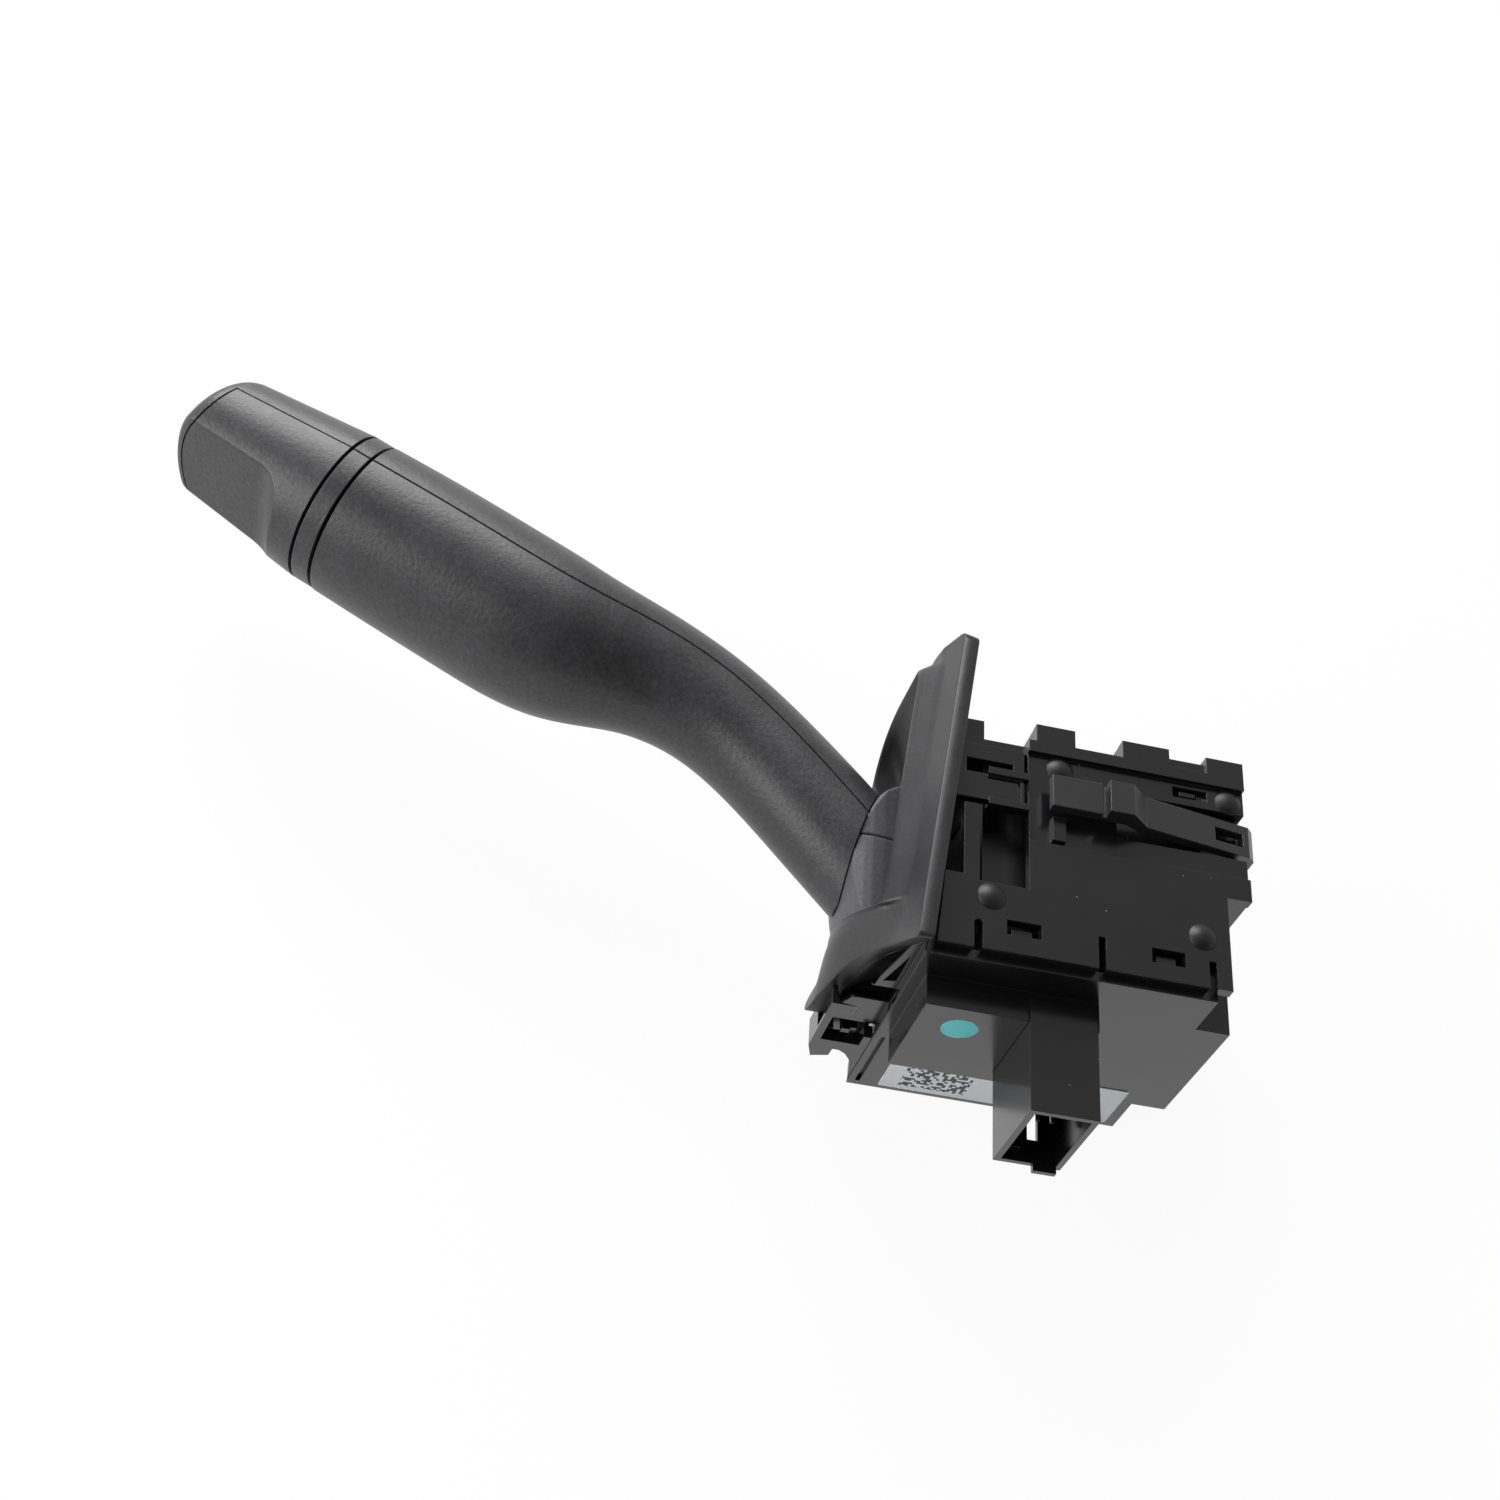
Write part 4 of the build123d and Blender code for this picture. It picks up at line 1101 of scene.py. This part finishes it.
@dataclass
class Studio:
    """Pale floor, white surroundings, two soft lamps and the photo's camera."""

    camera_at: Point = (-117.5, -214.5, 365.3)
    right: Point = (0.9714, 0.063, 0.229)
    down: Point = (0.1823, -0.8159, -0.5487)
    forward: Point = (0.1523, 0.5747, -0.804)
    lens: float = 55.0
    sensor: float = 36.0
    clip: Pair = (0.01, 50.0)  # metres
    floor_size: float = 6000.0
    floor_level: float = -0.4
    floor_colour: str = "f4f4f4"
    floor_glow: float = 0.93  # share of the floor that shows plain white to the eye
    horizon: float = 0.60  # brightness of the room's walls
    ceiling: float = 0.36  # and of its ceiling
    ceiling_span: Pair = (0.2, 0.8)  # the walls turn into the ceiling here
    dark_way: Point = (-0.1, -0.62, 0.78)  # unlit corner behind the viewer
    dark_level: float = 0.12
    dark_span: Pair = (0.50, 0.93)  # how far a direction agrees with that corner
    lamps: tuple[SoftLamp, ...] = (
        SoftLamp("back_lamp", (-300.0, 700.0, 500.0), 600.0, 9.0),
        SoftLamp("left_lamp", (-700.0, -100.0, 350.0), 500.0, 4.0),
    )

    def camera(self) -> None:
        """Places the camera where the photo was taken from."""
        data = bpy.data.cameras.new("camera")
        data.lens, data.sensor_width, data.sensor_fit = self.lens, self.sensor, "HORIZONTAL"
        data.clip_start, data.clip_end = self.clip
        camera = add_object("camera", data)
        turn = Matrix((self.right, [-v for v in self.down], [-v for v in self.forward])).transposed()
        camera.matrix_world = Matrix.Translation(Vector(self.camera_at) * MM) @ turn.to_4x4()
        bpy.context.scene.camera = camera

    def floor(self) -> None:
        """A wide white floor that keeps a faint shadow."""
        material, tree = empty_material("studio_floor")
        paths = add_node(tree, "ShaderNodeLightPath")
        seen = paths.outputs["Is Camera Ray"]
        for way in ("Is Glossy Ray", "Is Transmission Ray"):
            seen = maths(tree, "MAXIMUM", seen, paths.outputs[way])
        matt = add_node(tree, "ShaderNodeBsdfDiffuse", {"Color": linear(self.floor_colour)})
        glow = add_node(tree, "ShaderNodeEmission", {"Color": (1, 1, 1, 1), "Strength": 1.0})
        mixed = add_node(tree, "ShaderNodeMixShader", {
            0: maths(tree, "MULTIPLY", seen, self.floor_glow), 1: matt.outputs["BSDF"],
            2: glow.outputs["Emission"]})
        add_node(tree, "ShaderNodeOutputMaterial", {"Surface": mixed.outputs["Shader"]})
        mesh = bpy.data.meshes.new("studio_floor")
        half = self.floor_size / 2
        corners = [(x * half, y * half, self.floor_level) for x, y in ((-1, -1), (1, -1), (1, 1), (-1, 1))]
        mesh.from_pydata((np.array(corners) * MM).tolist(), [], [(0, 1, 2, 3)])
        mesh.materials.append(material)
        add_object("studio_floor", mesh)

    def world(self) -> None:
        """White surroundings for the eye, and for light bright walls, a dim ceiling and a dark corner."""
        world = bpy.data.worlds.new("studio")
        bpy.context.scene.world = world
        world.use_nodes = True
        tree = world.node_tree
        tree.nodes.clear()
        way = add_node(tree, "ShaderNodeTexCoord").outputs["Generated"]
        up = add_node(tree, "ShaderNodeSeparateXYZ", {"Vector": way}).outputs["Z"]
        toward = add_node(tree, "ShaderNodeVectorMath", {0: way, 1: self.dark_way},
                          operation="DOT_PRODUCT").outputs["Value"]
        levels = []
        for value, span, start, end in ((up, self.ceiling_span, self.horizon, self.ceiling),
                                        (toward, self.dark_span, 1.0, self.dark_level)):
            levels.append(add_node(tree, "ShaderNodeMapRange", {
                "Value": value, "From Min": span[0], "From Max": span[1], "To Min": start, "To Max": end},
                interpolation_type="SMOOTHSTEP").outputs["Result"])
        room = add_node(tree, "ShaderNodeBackground", {
            "Color": (1, 1, 1, 1), "Strength": maths(tree, "MULTIPLY", *levels)})
        white = add_node(tree, "ShaderNodeBackground", {"Color": (1, 1, 1, 1), "Strength": 1.0})
        seen = add_node(tree, "ShaderNodeLightPath").outputs["Is Camera Ray"]
        mixed = add_node(tree, "ShaderNodeMixShader", {
            0: seen, 1: room.outputs["Background"], 2: white.outputs["Background"]})
        add_node(tree, "ShaderNodeOutputWorld", {"Surface": mixed.outputs["Shader"]})

    def build(self) -> None:
        """Builds camera, floor, surroundings and lamps."""
        self.camera()
        self.floor()
        self.world()
        for lamp in self.lamps:
            lamp.build()


@dataclass
class CarriedNodes:
    """CAD nodes that are shown as they are, each with its finish."""

    groups: tuple[tuple[Finish, tuple[str, ...]], ...] = (
        (HOUSING_PLASTIC, ("housing_base", "front_cover", "cover_hooks", "bezel_carrier",
                           "connector_shroud")),
        (STAKE_PLASTIC, ("cover_stakes",)),
        (LATCH_PLASTIC, ("release_latch",)),
        (COLLAR_PLASTIC, ("collar_upper", "collar_lower")),
        (ACETAL, ("pivot_frame", "gimbal_yoke", "lever_hub", "beam_slider", "slider_guide",
                  "detent_track", "arm_core", "ring_carrier", "knob_spindle")),
        (STEEL, ("pivot_pin", "detent_plunger", "detent_spring")),
        (TINNED_COPPER, ("terminal_pins", "contact_tracks", "turn_wiper")),
        (BOARD, ("circuit_board",)),
        (WIRE, ("wire_loom",)),
        (LABEL_PAPER, ("label",)),
    )

    def dress(self) -> None:
        """Gives each node its group's material."""
        for finish, nodes in self.groups:
            material = finish.material()
            for name in nodes:
                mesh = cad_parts[name].data
                mesh.materials.clear()
                mesh.materials.append(material)
                LOG.info("%s: %s", name, material.name)


def main() -> None:
    """Builds the studio and every piece in order."""
    logging.basicConfig(level=logging.INFO, format="%(message)s")
    bpy.context.scene.view_settings.view_transform = "Standard"
    Studio().build()
    CarriedNodes().dress()
    stalk = Stalk(finish=STALK_PLASTIC.material())
    for side in Side:
        stalk.arm_half(side)
        stalk.ring_half(side)
    knob = Knob(stalk)
    knob.rear_shell()
    knob.face_shell()
    Bezel(finish=BEZEL_PLASTIC.material()).build()
    Markings(finish=MARK_PAINT.material()).dot()


if __name__ == "__main__":
    main()
